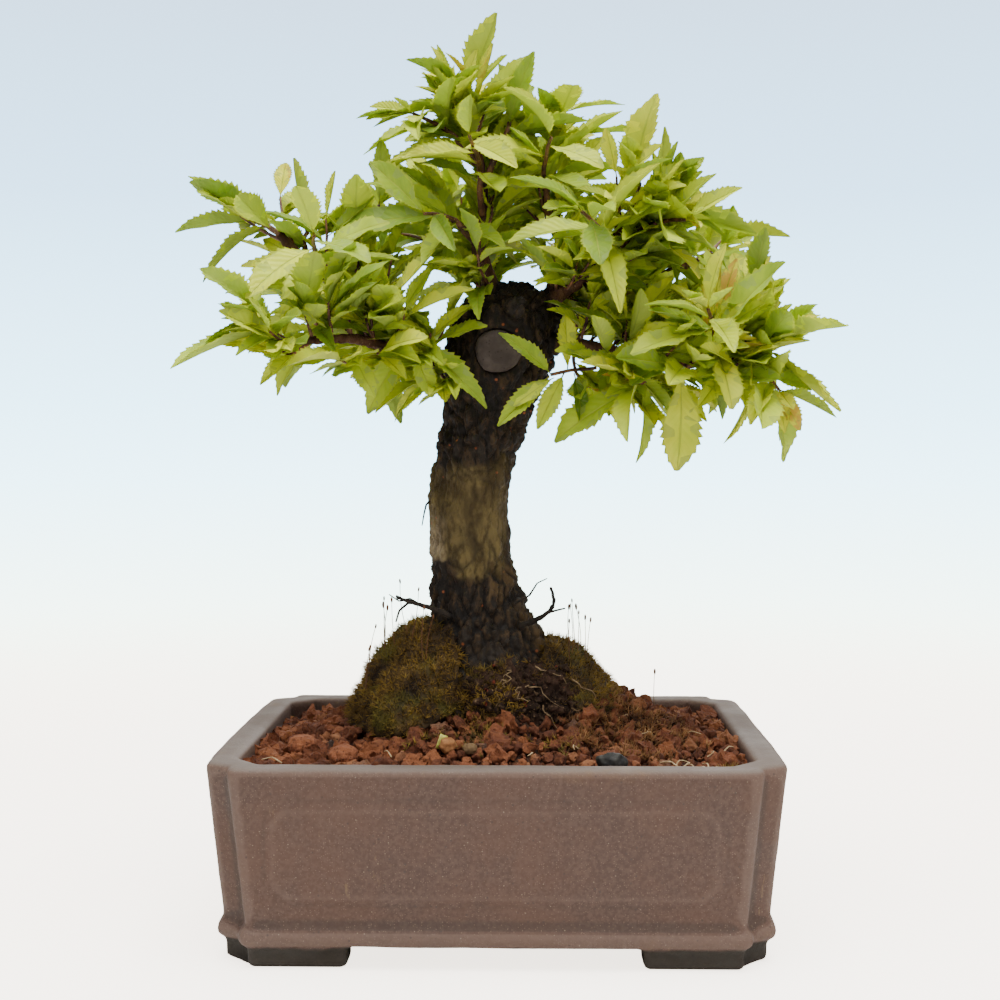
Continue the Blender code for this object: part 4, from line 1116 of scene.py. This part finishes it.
def growSprig(start, ahead, reachOut, leaves, lines, outline, trees, chance, tone):
    up = Vector((0.0, 0.0, 1.0))
    path = [start - ahead * 0.8 * mm]
    heading = ahead
    for _ in range(4):
        bend = jitter(chance, 0.25)
        heading = (heading + up * 0.26 + bend).normalized()
        path.append(path[-1] + heading * reachOut / 4)
    lines.append([(point, (0.62 - 0.07 * k) * mm) for k, point in enumerate(path)])
    count = chance.randint(*crown["sprigLeaves"])
    for n in range(count):
        place, ahead = alongPath(path, 0.25 + 0.75 * n / (count - 1))
        size = crown["leafLength"] * chance.uniform(0.55, 0.95)
        side = 1 if n % 2 else -1
        spread = math.radians(12 if n == count - 1 else 44)
        grow(leaves, outline, trees, chance, place, ahead, side, spread, size, tone + 0.04 * n)


def makeFoliage():
    chance = random.Random(crown["seed"])
    tree, trees = woodTrees()
    outline = crownOutline()
    leaves = []
    lines = []
    for name in shootNames:
        found = readLeaves(name)
        path = twigPath(name, found, tree)
        last = len(path) - 1
        lines.append([(point, crown["twigBase"] + (crown["twigTip"] - crown["twigBase"]) * k / last)
                      for k, point in enumerate(path)])
        young = chance.uniform(0.42, 0.66)
        for item in found:
            item["tone"] = young + chance.uniform(-0.26, 0.26)
            leaves.append(item)
        for k in range(crown["extra"]):
            place, ahead = alongPath(path, 0.40 + 0.5 * (k + chance.uniform(0, 0.8)) / crown["extra"])
            size = crown["leafLength"] * chance.uniform(0.6, 0.95)
            grow(leaves, outline, trees, chance, place, ahead, chance.choice((-1, 1)),
                 math.radians(55), size, young)
        tip, ahead = alongPath(path, 1.0)
        for k in range(crown["buds"]):
            size = crown["leafLength"] * chance.uniform(0.35, 0.62)
            grow(leaves, outline, trees, chance, tip, ahead, chance.choice((-1, 1)),
                 math.radians(24), size, young + 0.22)
    fromFrame = len(leaves)
    faces = []
    for name in branchNames:
        shape = merged(name)
        faces += [(face.calc_center_median(), face.normal.copy(), face.calc_area())
                  for face in shape.faces]
        shape.free()
    middle = sum((item["base"] for item in leaves), Vector()) / len(leaves)
    picks = chance.choices(faces, weights=[face[2] for face in faces], k=crown["sprigs"] * 3)
    made = 0
    for start, normal, _ in picks:
        if made == crown["sprigs"] or inWood(start + normal * 2 * mm, trees[-1:]):
            continue
        away = (start - middle).normalized()
        ahead = normal * 0.9 + away * 0.6 + Vector((0.0, 0.0, 0.35))
        ahead = (ahead + jitter(chance, 0.4)).normalized()
        reachOut = chance.uniform(*crown["sprigLength"])
        if not inCrown(start + ahead * reachOut, outline):
            reachOut *= 0.55
        if inWood(start + ahead * reachOut, trees) or not inCrown(start + ahead * reachOut, outline):
            continue
        growSprig(start, ahead, reachOut, leaves, lines, outline, trees, chance,
                  chance.uniform(0.36, 0.62))
        made += 1
    for twig, hanging in frontSprigs:
        lines.append([(potFoot + Vector(point) * mm, 0.55 * mm) for point in twig])
        for foot, tip, tone in hanging:
            base = potFoot + Vector(foot) * mm
            aim = potFoot + Vector(tip) * mm - base
            leaves.append({"base": base, "aim": aim.normalized(), "length": aim.length,
                           "face": Vector((chance.uniform(-0.4, 0.4), -0.9, 0.6)), "tone": tone})
    kinds = shapeSet("leafKinds", [makeLeafKind(k, *values) for k, values in enumerate(leafKinds)])
    material = leafMaterial()
    leafPiece("shootLeaves", leaves[:fromFrame], kinds, material, chance, *shootNames)
    leafPiece("sprigLeaves", leaves[fromFrame:], kinds, material, chance)
    makeRods("leafTwigs", lines, twigMaterial(), 7, 1.6 * mm, "branch_bark")


def leafPiece(name, leaves, kinds, material, chance, *stands):
    shape = bmesh.new()
    for item in leaves:
        shape.verts.new(item["base"])
    piece = toPiece(name, shape, material)
    mesh = piece.data
    for key in ("aim", "face"):
        setAttribute(mesh, key, [item[key] for item in leaves], "FLOAT_VECTOR")
    setAttribute(mesh, "tone", [clamp(item["tone"]) for item in leaves])
    setAttribute(mesh, "size", [[item["length"]] * 3 for item in leaves], "FLOAT_VECTOR")
    kind = mesh.attributes.new("kind", "INT", "POINT")
    kind.data.foreach_set("value", [chance.randrange(len(leafKinds)) for _ in leaves])
    runTree(piece, leafTree, {"Shapes": kinds, "Material": material})
    settle(piece, "leaf", *stands)
    print(name, len(leaves), "leaves,", len(piece.data.polygons), "faces")


def makeRods(name, lines, material, sides, spacing, slot):
    # round rods along lists of points with their girths
    shape = bmesh.new()
    girths = []
    for line in lines:
        before = None
        for point, girth in line:
            vert = shape.verts.new(point)
            girths.append(girth)
            if before:
                shape.edges.new((before, vert))
            before = vert
    piece = toPiece(name, shape, material)
    setAttribute(piece.data, "girth", girths)
    runTree(piece, twigTree, {"Sides": sides, "Spacing": spacing, "Material": material})
    settle(piece, slot)
    print(name, len(piece.data.polygons), "faces")


# soil

soil = {
    "drop": 2.4 * mm,  # how far the bed lies below the tops of its grains
    "coarse": (3.0 * mm, 5.6 * mm),
    "middle": (1.6 * mm, 3.0 * mm),
    "fine": (0.6 * mm, 1.2 * mm),
    "heap": (36 * mm, 4 * mm, 6 * mm, 21 * mm),  # place from the pot's middle, rise and reach
    "seed": 4,
}


def heapLift(x, y):
    across, deep, rise, far = soil["heap"]
    span = ((x - potFoot.x - across) / far) ** 2 + ((y - potFoot.y - deep) / far) ** 2
    return rise * math.exp(-span)


def dropTo(ground, across, deep):
    # the point of the ground under a place in mm from the pot's middle
    above = Vector((potFoot.x + across * mm, potFoot.y + deep * mm, 0.2))
    return ground.ray_cast(above, Vector((0, 0, -1)))[0]


def grainShape(name, seed, detail, rough):
    # unit crumb with broken faces and smaller crumbs clinging to it
    chance = random.Random(seed)
    shape = bmesh.new()
    bmesh.ops.create_icosphere(shape, subdivisions=detail, radius=1.0)
    stretch = Vector([chance.uniform(0.70, 1.15) for _ in range(3)])
    cuts = []
    for _ in range(8):
        normal = jitter(chance, 1).normalized()
        cuts.append((normal, chance.uniform(0.58, 0.88)))
    for vert in shape.verts:
        for normal, limit in cuts:
            over = vert.co.dot(normal) - limit
            if over > 0:
                vert.co -= normal * over
        spot = vert.co + Vector((seed * 3.7, 0, 0))
        cells = noise.voronoi(spot * 2.3)[0]
        crumb = 0.45 - cells[0]
        vert.co *= 1 + rough * (
            0.9 * crumb + 0.6 * noise.noise(spot * 1.9) + 0.5 * noise.noise(spot * 4.6))
        vert.co = Vector([a * b for a, b in zip(vert.co, stretch)])
    return toPiece(name, shape)


def soilTop():
    # the bed's upper surface, cut finer
    shape = merged("soil_bed")
    side = [face for face in shape.faces if face.normal.z < 0.15]
    bmesh.ops.delete(shape, geom=side, context="FACES")
    bmesh.ops.subdivide_edges(shape, edges=shape.edges, cuts=1, use_grid_fill=True)
    for vert in shape.verts:
        vert.co.z += heapLift(vert.co.x, vert.co.y) - soil["drop"]
    return shape


def makeSoil():
    soilMaterial = grainMaterial("soilGrain", (
        (0.0, (0.058, 0.018, 0.009)), (0.3, (0.100, 0.032, 0.015)), (0.6, (0.145, 0.046, 0.020)),
        (0.85, (0.195, 0.068, 0.027)), (0.97, (0.24, 0.105, 0.05)), (1.0, (0.045, 0.033, 0.028))))
    # painted shade: the bed under the grains is painted near black for the shade in the gaps between
    # them
    bed = toPiece("soilBase", soilTop(), grainMaterial("soilGapShade", (
        (0.0, (0.020, 0.007, 0.004)), (1.0, (0.030, 0.010, 0.006)))))
    settle(bed, "soil", "soil_bed")
    heroes = shapeSet("grains", [grainShape("grain%d" % k, 20 + k, 3, 0.60) for k in range(14)])
    chips = shapeSet("chips", [grainShape("chip%d" % k, 60 + k, 2, 0.5) for k in range(8)])
    crumbs = shapeSet("crumbs", [grainShape("crumb%d" % k, 80 + k, 1, 0.4) for k in range(6)])
    layers = (
        # shapes, sizes, spacing, density, sink, cover on the right against the left
        ("soilCoarse", heroes, soil["coarse"], 6.0 * mm, 60000, 0.8 * mm, 0.22),
        ("soilMiddle", chips, soil["middle"], 3.2 * mm, 150000, 1.2 * mm, 1.0),
        ("soilFine", crumbs, soil["fine"], 1.35 * mm, 260000, 0.6 * mm, 0.9),
    )
    for number, (name, shapes, sizes, spacing, density, sink, right) in enumerate(layers):
        piece = toPiece(name, soilTop(), soilMaterial)
        mesh = piece.data
        places = coords(mesh)
        share = np.clip((places[:, 0] - potFoot.x) / (50 * mm) * 0.5 + 0.5, 0, 1)
        setAttribute(mesh, "cover", 1.0 + (right - 1.0) * share)
        runTree(piece, scatterTree, {
            "Shapes": shapes, "Density": float(density), "Spacing": spacing,
            "Smallest": sizes[0], "Largest": sizes[1], "Upright": 0.0, "Lean": 0.0,
            "Sink": sink, "Material": soilMaterial, "Seed": soil["seed"] + number})
        piece.data.shade_smooth()
        piece.data.set_sharp_from_angle(angle=math.radians(48))
        settle(piece, "soil")
        print(name, len(piece.data.polygons), "faces")


# moss

moss = {
    # tufts' spacing and height, lumps of the ground under them
    "moss_mound_left": {"spacing": 1.1 * mm, "tall": (1.8 * mm, 3.4 * mm), "lumps": 2.2 * mm},
    "moss_mound_right": {"spacing": 1.1 * mm, "tall": (1.7 * mm, 3.2 * mm), "lumps": 1.8 * mm},
    "moss_dry_patch": {"lower": 7.0 * mm, "lumps": 1.0 * mm},
}
# tufts between the grains: places from the pot's middle, reach and greatest cover
dryMoss = {
    "spacing": 1.15 * mm, "tall": (2.4 * mm, 4.2 * mm), "lift": 2.2 * mm,
    "spots": ((36 * mm, -28 * mm, 15 * mm, 1.0), (31 * mm, -12 * mm, 13 * mm, 0.9),
              (49 * mm, -14 * mm, 11 * mm, 0.7)),
}
greenMoss = {
    "spacing": 1.15 * mm, "tall": (2.2 * mm, 3.6 * mm), "lift": 2.0 * mm,
    "spots": ((69 * mm, -47 * mm, 5 * mm, 1.0), (-4 * mm, -36 * mm, 8 * mm, 0.8),
              (20 * mm, -38 * mm, 5 * mm, 0.6), (-22 * mm, -33 * mm, 6 * mm, 0.6)),
}
# the lump of fine roots and old soil before the trunk's foot
rootBall = {
    "middle": (8 * mm, -13 * mm, 7 * mm),  # from the pot's middle, at the rim's height
    "half": (25 * mm, 15 * mm, 16 * mm),
    "lumps": 4.2 * mm,
    "crumbs": 1.5 * mm,
    "roots": 13,
    "seed": 8,
}
trunkMoss = {"left": 27 * mm, "right": 9 * mm, "fade": 9 * mm}  # heights above the rim


def tuftShape(name, seed, spikes):
    # a star of thin pointed leaflets, one unit tall, lighter towards their tips
    chance = random.Random(seed)
    shape = bmesh.new()
    tips = []
    for k in range(spikes):
        turn = math.tau * (k + chance.uniform(-0.3, 0.3)) / spikes
        spread = chance.uniform(0.15, 1.15) if k else 0.1
        out = math.sin(spread)
        aim = Vector((math.cos(turn) * out, math.sin(turn) * out, math.cos(spread)))
        side = aim.orthogonal().normalized()
        across = aim.cross(side)
        thick = chance.uniform(0.055, 0.085)
        base = [shape.verts.new(side * thick * math.cos(a) + across * thick * math.sin(a) - aim * 0.15)
                for a in (0.0, 2.1, 4.2)]
        tip = shape.verts.new(aim * chance.uniform(0.65, 1.0))
        tips += [0.0, 0.0, 0.0, 1.0]
        for n in range(3):
            shape.faces.new((base[n], base[(n + 1) % 3], tip))
        shape.faces.new(base[::-1])
    made = toPiece(name, shape)
    setAttribute(made.data, "tip", tips)
    return made


def growMoss(name, mesh, cover, tufts, values, material, seed, slot):
    grower = toPiece(name, bmesh.new(), material)
    grower.data = mesh.copy()  # only its surface is used
    setAttribute(grower.data, "cover", cover)
    runTree(grower, scatterTree, {
        "Shapes": tufts, "Density": 3.0e6, "Spacing": values["spacing"],
        "Smallest": values["tall"][0], "Largest": values["tall"][1], "Upright": 1.0,
        "Lean": 0.65, "Sink": values.get("lift", -0.1 * mm), "Material": material, "Seed": seed})
    grower.data.shade_smooth()
    settle(grower, slot)
    print(name, len(grower.data.polygons), "faces")


def makeMoss():
    golden = mossMaterial("mossGolden", (
        (0.0, (0.012, 0.006, 0.002)), (0.25, (0.040, 0.022, 0.005)), (0.5, (0.110, 0.064, 0.010)),
        (0.75, (0.230, 0.140, 0.022)), (1.0, (0.420, 0.270, 0.055))),
        (0.55, 0.40, 0.12), (0.100, 0.100, 0.010))
    dry = mossMaterial("mossDry", (
        (0.0, (0.012, 0.005, 0.003)), (0.30, (0.050, 0.020, 0.007)), (0.60, (0.150, 0.064, 0.018)),
        (1.0, (0.38, 0.22, 0.085))), (0.50, 0.34, 0.16), (0.13, 0.060, 0.014))
    tufts = shapeSet("tufts", [tuftShape("tuft%d" % k, k, 5 + k % 2) for k in range(6)])
    for number, (name, values) in enumerate(moss.items()):
        onSoil = name == "moss_dry_patch"
        material = dry if onSoil else golden
        slot = "moss_dry" if onSoil else "moss"
        shape = merged(name)
        bmesh.ops.subdivide_edges(shape, edges=shape.edges, cuts=3, use_grid_fill=True)
        bmesh.ops.triangulate(shape, faces=shape.faces)
        shape.normal_update()
        for vert in shape.verts:
            scaled = vert.co / mm
            lump = noise.noise(scaled * 0.16) * 0.8 + noise.noise(scaled * 0.5) * 0.35
            if vert.normal.z > -0.2:
                vert.co += vert.normal * lump * values["lumps"]
            if onSoil:
                vert.co.z += heapLift(vert.co.x, vert.co.y) - values["lower"]
        cushion = toPiece(name.replace("_", "") + "Cushion", shape, material)
        mesh = cushion.data
        # the cushion takes the darkest moss colour: the dead brown of old moss with painted shade under
        # the tufts
        setAttribute(mesh, "tone", [0.0] * len(mesh.vertices))
        settle(cushion, slot, name)
        if not onSoil:
            cover = [clamp(vert.normal.z * 2 + 1.2) for vert in mesh.vertices]
            growMoss(name.replace("_", "") + "Tufts", mesh, cover, tufts, values, material,
                     30 + number, slot)
    ground = addTo(bmesh.new(), soilTop())
    for name, values, material, slot in (
            ("dryTufts", dryMoss, dry, "moss_dry"), ("greenTufts", greenMoss, golden, "moss")):
        cover = []
        for vert in ground.vertices:
            share = 0.0
            for across, deep, far, most in values["spots"]:
                off = Vector((vert.co.x - potFoot.x - across, vert.co.y - potFoot.y - deep)).length
                share = max(share, most * math.exp(-(off / far) ** 4))
            patchy = 0.7 + 1.6 * noise.noise(vert.co / mm * 0.17)
            cover.append(clamp(share * patchy))
        growMoss(name, ground, cover, tufts, values, material, 37, slot)
    makeRootBall(tufts, golden)


def rootMaterial():
    made, tree, shader, place = newMaterial("rootSoil")
    patches = mottled(tree, place, 150.0, 0.38, 0.64)
    small = mottled(tree, place, 600.0, 0.46, 0.64)
    body = blend(tree, patches, (0.012, 0.007, 0.005), (0.042, 0.022, 0.015))
    body = layer(tree, body, small, 0.55, (0.110, 0.070, 0.042))
    red = speckled(tree, place, 420.0, 0.10, 0.34)
    body = layer(tree, body, red["Mask"], 0.8, (0.22, 0.045, 0.024))
    tan = speckled(tree, place, 800.0, 0.10, 0.30)
    body = layer(tree, body, tan["Mask"], 0.7, (0.26, 0.17, 0.09))
    dress(tree, shader, body, 0.9, 0.1)
    bump(tree, shader, plus(tree, small, red["Height"]), 1.0, 0.5 * mm)
    return made


def makeRootBall(tufts, mossSkin):
    chance = random.Random(rootBall["seed"])
    middle = Vector((potFoot.x, potFoot.y, rimZ)) + Vector(rootBall["middle"])
    shape = bmesh.new()
    bmesh.ops.create_icosphere(shape, subdivisions=6, radius=1.0)
    half = Vector(rootBall["half"])
    for vert in shape.verts:
        unit = vert.co.copy()
        scaled = Vector([a * b / mm for a, b in zip(unit, half)])
        cells = noise.voronoi(scaled * 0.21)[0]
        lump = noise.noise(scaled * 0.07) + 0.9 * (0.5 - cells[0])
        fine = noise.noise(scaled * 0.5) + 0.6 * noise.noise(scaled * 1.1)
        size = lump * rootBall["lumps"] + fine * rootBall["crumbs"]
        vert.co = middle + Vector([a * b for a, b in zip(unit, half)]) + unit * size
    skin = rootMaterial()
    ball = toPiece("rootBall", shape, skin)
    settle(ball, "soil")
    cover = []
    for vert in ball.data.vertices:
        across = (vert.co.x - potFoot.x) / mm + noise.noise(vert.co / mm * 0.12) * 9
        side = min(1.0, max(0.03, (6 - across) / 7))
        cover.append(side * clamp(vert.normal.z * 2 + 1.4))
    growMoss("rootBallTufts", ball.data, cover, tufts, moss["moss_mound_left"], mossSkin, 41, "moss")
    bits = shapeSet("rootBits", [grainShape("rootBit%d" % k, 90 + k, 2, 0.6) for k in range(6)])
    strewn = toPiece("rootCrumbs", bmesh.new(), skin)
    strewn.data = ball.data.copy()
    setAttribute(strewn.data, "cover", [1.0] * len(ball.data.vertices))
    runTree(strewn, scatterTree, {
        "Shapes": bits, "Density": 400000.0, "Spacing": 2.3 * mm, "Smallest": 0.6 * mm,
        "Largest": 1.9 * mm, "Upright": 0.0, "Lean": 0.0, "Sink": 0.1 * mm, "Material": skin,
        "Seed": 47})
    strewn.data.shade_smooth()
    settle(strewn, "soil")
    shape = merged("trunk")
    bmesh.ops.subdivide_edges(shape, edges=shape.edges, cuts=3, use_grid_fill=True)
    above = [face for face in shape.faces if face.calc_center_median().z > rimZ + 40 * mm]
    bmesh.ops.delete(shape, geom=above, context="FACES")
    foot = addTo(bmesh.new(), shape)
    cover = []
    for vert in foot.vertices:
        share = clamp((vert.co.x - potFoot.x + 14 * mm) / (30 * mm))
        top = trunkMoss["left"] + (trunkMoss["right"] - trunkMoss["left"]) * share
        top += noise.noise(vert.co / mm * 0.14) * 7 * mm
        cover.append(clamp((rimZ + top - vert.co.z) / trunkMoss["fade"]))
    growMoss("trunkTufts", foot, cover, tufts, moss["moss_mound_left"], mossSkin, 43, "moss")
    lines = []
    for _ in range(rootBall["roots"]):
        turn = chance.uniform(-2.6, -0.5)
        high = chance.uniform(0.1, 1.2)
        line = []
        for k in range(9):
            out = math.cos(high)
            aim = Vector((math.cos(turn) * out, math.sin(turn) * out, math.sin(high)))
            spot = middle + Vector([a * b * 1.05 for a, b in zip(aim, half)])
            line.append((spot + jitter(chance, 0.5) * mm,
                         (0.24 - 0.02 * k) * mm))
            turn += chance.uniform(-0.10, 0.14)
            high -= chance.uniform(-0.03, 0.12)
        lines.append(line)
    tan = plainMaterial("fineRoots", (0.105, 0.065, 0.032), (0.25, 0.175, 0.095), 300.0, 0.7)
    makeRods("fineRoots", lines, tan, 5, 1.2 * mm, "branch_bark")


# stalks with spore capsules, standing in groups on the moss

stalkGroups = (
    # from the ground under the pot, in mm: middle across and deep, spread, number
    (-36, -8, 7, 7),
    (-27, -14, 5, 4),
    (25, -4, 5, 8),
    (50, -2, 1, 1),
)
stalk = {"tall": (11 * mm, 18 * mm), "girth": 0.12 * mm, "capsule": 0.42 * mm, "seed": 3}


def makeStalks():
    chance = random.Random(stalk["seed"])
    surface = bmesh.new()
    for name in list(moss) + ["soil_bed"]:
        addTo(surface, merged(name))
    ground = BVHTree.FromBMesh(surface)
    surface.free()
    lines = []
    tips = []
    for across, deep, spread, number in stalkGroups:
        for _ in range(number):
            hit = dropTo(ground, across + chance.gauss(0, spread * 0.5),
                         deep + chance.gauss(0, spread * 0.6))
            if hit is None:
                continue
            tall = chance.uniform(*stalk["tall"])
            lean = Vector((chance.uniform(-0.16, 0.16), chance.uniform(-0.16, 0.16), 1.0))
            sway = Vector((chance.uniform(-1, 1), chance.uniform(-1, 1), 0)) * tall * 0.06
            line = []
            for k in range(6):
                s = k / 5
                point = hit + lean * tall * s + sway * math.sin(s * 3) - Vector((0, 0, 1 * mm))
                line.append((point, stalk["girth"] * (1.15 - 0.4 * s)))
            lines.append(line)
            tips.append((point, lean.normalized(), chance.uniform(0.8, 1.25)))
    material = plainMaterial("stalkBrown", (0.075, 0.028, 0.014), (0.16, 0.07, 0.03), 500.0, 0.5)
    makeRods("mossStalks", lines, material, 5, 2.2 * mm, "moss")
    caps = bmesh.new()
    for point, lean, size in tips:
        made = bmesh.ops.create_icosphere(caps, subdivisions=2, radius=stalk["capsule"] * size)
        turn = Vector((0, 0, 1)).rotation_difference(lean).to_matrix().to_4x4()
        move = Matrix.Translation(point) @ turn @ Matrix.Diagonal((0.8, 0.8, 2.1, 1.0))
        bmesh.ops.transform(caps, matrix=move, verts=made["verts"])
    settle(toPiece("mossCapsules", caps, material), "moss")
    print("stalks:", len(tips))


# loose stones, seal, dead twigs and drainage

def roughCopy(node, name, material, cuts, amount, scale, slot):
    # the CAD solid with finer broken relief
    shape = merged(node)
    bmesh.ops.subdivide_edges(shape, edges=shape.edges, cuts=cuts, use_grid_fill=True)
    bmesh.ops.triangulate(shape, faces=shape.faces)
    for _ in range(2):
        bmesh.ops.smooth_vert(shape, verts=shape.verts, factor=0.4,
                              use_axis_x=True, use_axis_y=True, use_axis_z=True)
    shape.normal_update()
    for vert in shape.verts:
        scaled = vert.co / mm * scale
        vert.co += vert.normal * amount * (noise.noise(scaled) + 0.5 * noise.noise(scaled * 2.7))
    piece = toPiece(name, shape, material)
    settle(piece, slot, node)
    return piece


# forks of the dead twigs, in mm from the pot's middle at the rim's height
deadForks = (
    ((-24, -17, 41), (-27, -18.5, 43), (-30, -19.5, 42.2), (-33, -21, 44.5)),
    ((-27, -19, 42), (-30, -20, 39.5), (-31, -20.5, 36)),
    ((5, -13, 41), (9.5, -14, 43.5), (12, -15, 47.5), (15, -16, 49)),
    ((14, -15, 38), (18.5, -17, 39.5), (20.5, -17.5, 40)),
    ((-20, -3, 73), (-22.8, -4, 71.4), (-23.6, -4, 68), (-24.2, -4, 64.5)),
)
# loose fibres on the soil: place across and deep, length in mm
fibres = ((-62, -44, 7), (-30, -46, 6), (-46, -38, 8), (10, -47, 6), (47, -20, 8), (62, -34, 6),
          (58, -12, 7), (24, -40, 7), (68, -26, 5), (40, -10, 7))


def makeFibres(ground):
    chance = random.Random(21)
    lines = []
    spots = list(fibres)
    spots += [(56 + chance.uniform(-6, 6), -50 + chance.uniform(-4, 2), 7) for _ in range(16)]
    for x, y, length in spots:
        hit = dropTo(ground, x, y)
        if hit is None:
            continue
        turn = chance.uniform(0, math.tau)
        curl = chance.uniform(-0.5, 0.5)
        point = hit + Vector((0, 0, 0.6 * mm))
        line = []
        for k in range(7):
            line.append((point, (0.24 - 0.02 * k) * mm))
            turn += curl
            rise = 0.55 if k < 3 else -0.25
            point = point + Vector((math.cos(turn), math.sin(turn), rise)) * length / 7 * mm
        lines.append(line)
    pale = plainMaterial("dryFibre", (0.30, 0.20, 0.10), (0.50, 0.38, 0.22), 300.0, 0.7)
    makeRods("dryFibres", lines, pale, 5, 1.0 * mm, "moss_dry")


def makeScrap(ground):
    # a small shed piece of leaf standing against a pebble
    hit = dropTo(ground, -17, -41)
    shape = bmesh.new()
    bmesh.ops.create_cube(shape, size=1.0)
    bmesh.ops.subdivide_edges(shape, edges=shape.edges, cuts=3, use_grid_fill=True)
    turn = Matrix.Rotation(0.45, 4, "Y") @ Matrix.Rotation(0.5, 4, "Z")
    for vert in shape.verts:
        x, y, z = vert.co
        narrow = 0.55 + 0.45 * (z + 0.5)
        flat = Vector((x * 2.6 * narrow, y * 0.3 + 0.5 * x * x, (z + 0.5) * 4.4)) * mm
        vert.co = hit + turn @ flat
    green = plainMaterial("leafScrap", (0.46, 0.50, 0.09), (0.60, 0.58, 0.16), 300.0, 0.6)
    piece = toPiece("leafScrap", shape, green)
    settle(piece, "leaf")


def makeBuds():
    # a dark cluster of spent buds on a right-hand twig, with a hanging tendril
    middle = potFoot + Vector((70, -17, 172)) * mm
    shape = bmesh.new()
    chance = random.Random(5)
    for _ in range(9):
        made = bmesh.ops.create_icosphere(shape, subdivisions=2, radius=chance.uniform(1.0, 1.7) * mm)
        offset = Vector([chance.gauss(0, 1.3) for _ in range(3)]) * mm
        turn = Matrix.Rotation(chance.uniform(0, 3), 4, "X") @ Matrix.Diagonal((0.7, 0.7, 1.5, 1.0))
        move = Matrix.Translation(middle + offset) @ turn
        bmesh.ops.transform(shape, matrix=move, verts=made["verts"])
    for vert in shape.verts:
        vert.co += (vert.co - middle).normalized() * noise.noise(vert.co / mm) * 0.5 * mm
    brown = plainMaterial("spentBuds", (0.030, 0.012, 0.007), (0.11, 0.045, 0.022), 500.0, 0.75)
    buds = toPiece("spentBuds", shape, brown)
    settle(buds, "branch_bark")
    path = ((0, 0, 0), (2.5, -1, -2), (4.5, -1, -5.5), (5.5, -1, -9.5), (7.5, -1, -12.5))
    tendril = [(middle + Vector(point) * mm, (0.30 - 0.03 * k) * mm) for k, point in enumerate(path)]
    stem = [(middle + Vector(point) * mm, 0.45 * mm) for point in ((-9, 3, 2), (-4, 1, 1.5), (0, 0, 0))]
    makeRods("budTendril", [tendril, stem], brown, 6, 1.0 * mm, "branch_bark")


def makeSmallThings():
    tanStone = plainMaterial("tanStone", (0.17, 0.066, 0.022), (0.27, 0.125, 0.048), 240.0, 0.85)
    oliveStone = plainMaterial("oliveStone", (0.075, 0.044, 0.020), (0.135, 0.082, 0.038), 240.0, 0.85)
    coal = plainMaterial("charcoal", (0.006, 0.006, 0.006), (0.026, 0.025, 0.022), 400.0, 0.6)
    lava = grainMaterial("lavaStone", ((0.0, (0.21, 0.072, 0.032)), (1.0, (0.28, 0.11, 0.045))))
    putty = plainMaterial("woundPutty", (0.042, 0.032, 0.027), (0.066, 0.051, 0.045), 160.0, 0.8,
                          depth=0.12 * mm)
    dead = plainMaterial("deadWood", (0.006, 0.005, 0.0045), (0.022, 0.016, 0.011), 400.0, 0.8)
    for node, material, slot in (
            ("pebble_pale_1", tanStone, "pale_stone"), ("pebble_pale_2", oliveStone, "pale_stone"),
            ("charcoal_lump", coal, "charcoal"), ("lava_grain_1", lava, "lava_stone"),
            ("lava_grain_2", lava, "lava_stone")):
        roughCopy(node, node.replace("_", ""), material, 3, 0.34 * mm, 0.8, slot)
    roughCopy("wound_seal", "woundSeal", putty, 3, 0.30 * mm, 0.35, "wound_putty")
    for node in ("dead_twig_left", "dead_twig_right"):
        roughCopy(node, node.replace("_", ""), dead, 2, 0.32 * mm, 1.1, "dead_wood")
    middle = Vector((potFoot.x, potFoot.y, rimZ))
    forks = [[(middle + Vector(point) * mm, (0.45 - 0.09 * k) * mm) for k, point in enumerate(path)]
             for path in deadForks]
    makeRods("deadForks", forks, dead, 6, 0.9 * mm, "dead_wood")
    shape = merged("soil_bed")
    ground = BVHTree.FromBMesh(shape)
    shape.free()
    makeFibres(ground)
    makeScrap(ground)
    makeBuds()
    plastic = plainMaterial("screenPlastic", (0.012, 0.012, 0.013), (0.02, 0.02, 0.02), 200.0, 0.5,
                            depth=0.04 * mm)
    wire = plainMaterial("clipWire", (0.42, 0.25, 0.14), (0.52, 0.33, 0.20), 260.0, 0.4, 1.0,
                         depth=0.03 * mm)
    for name, item in nodes.items():
        if name.startswith("drain_screen"):
            item.data.materials[0] = plastic
        if name.startswith("screen_clip"):
            item.data.materials[0] = wire
    print("small things ready")


makeCamera()
makeLights()
makeFloor()
makePot()
makeWood()
makeFoliage()
makeSoil()
makeMoss()
makeStalks()
makeSmallThings()
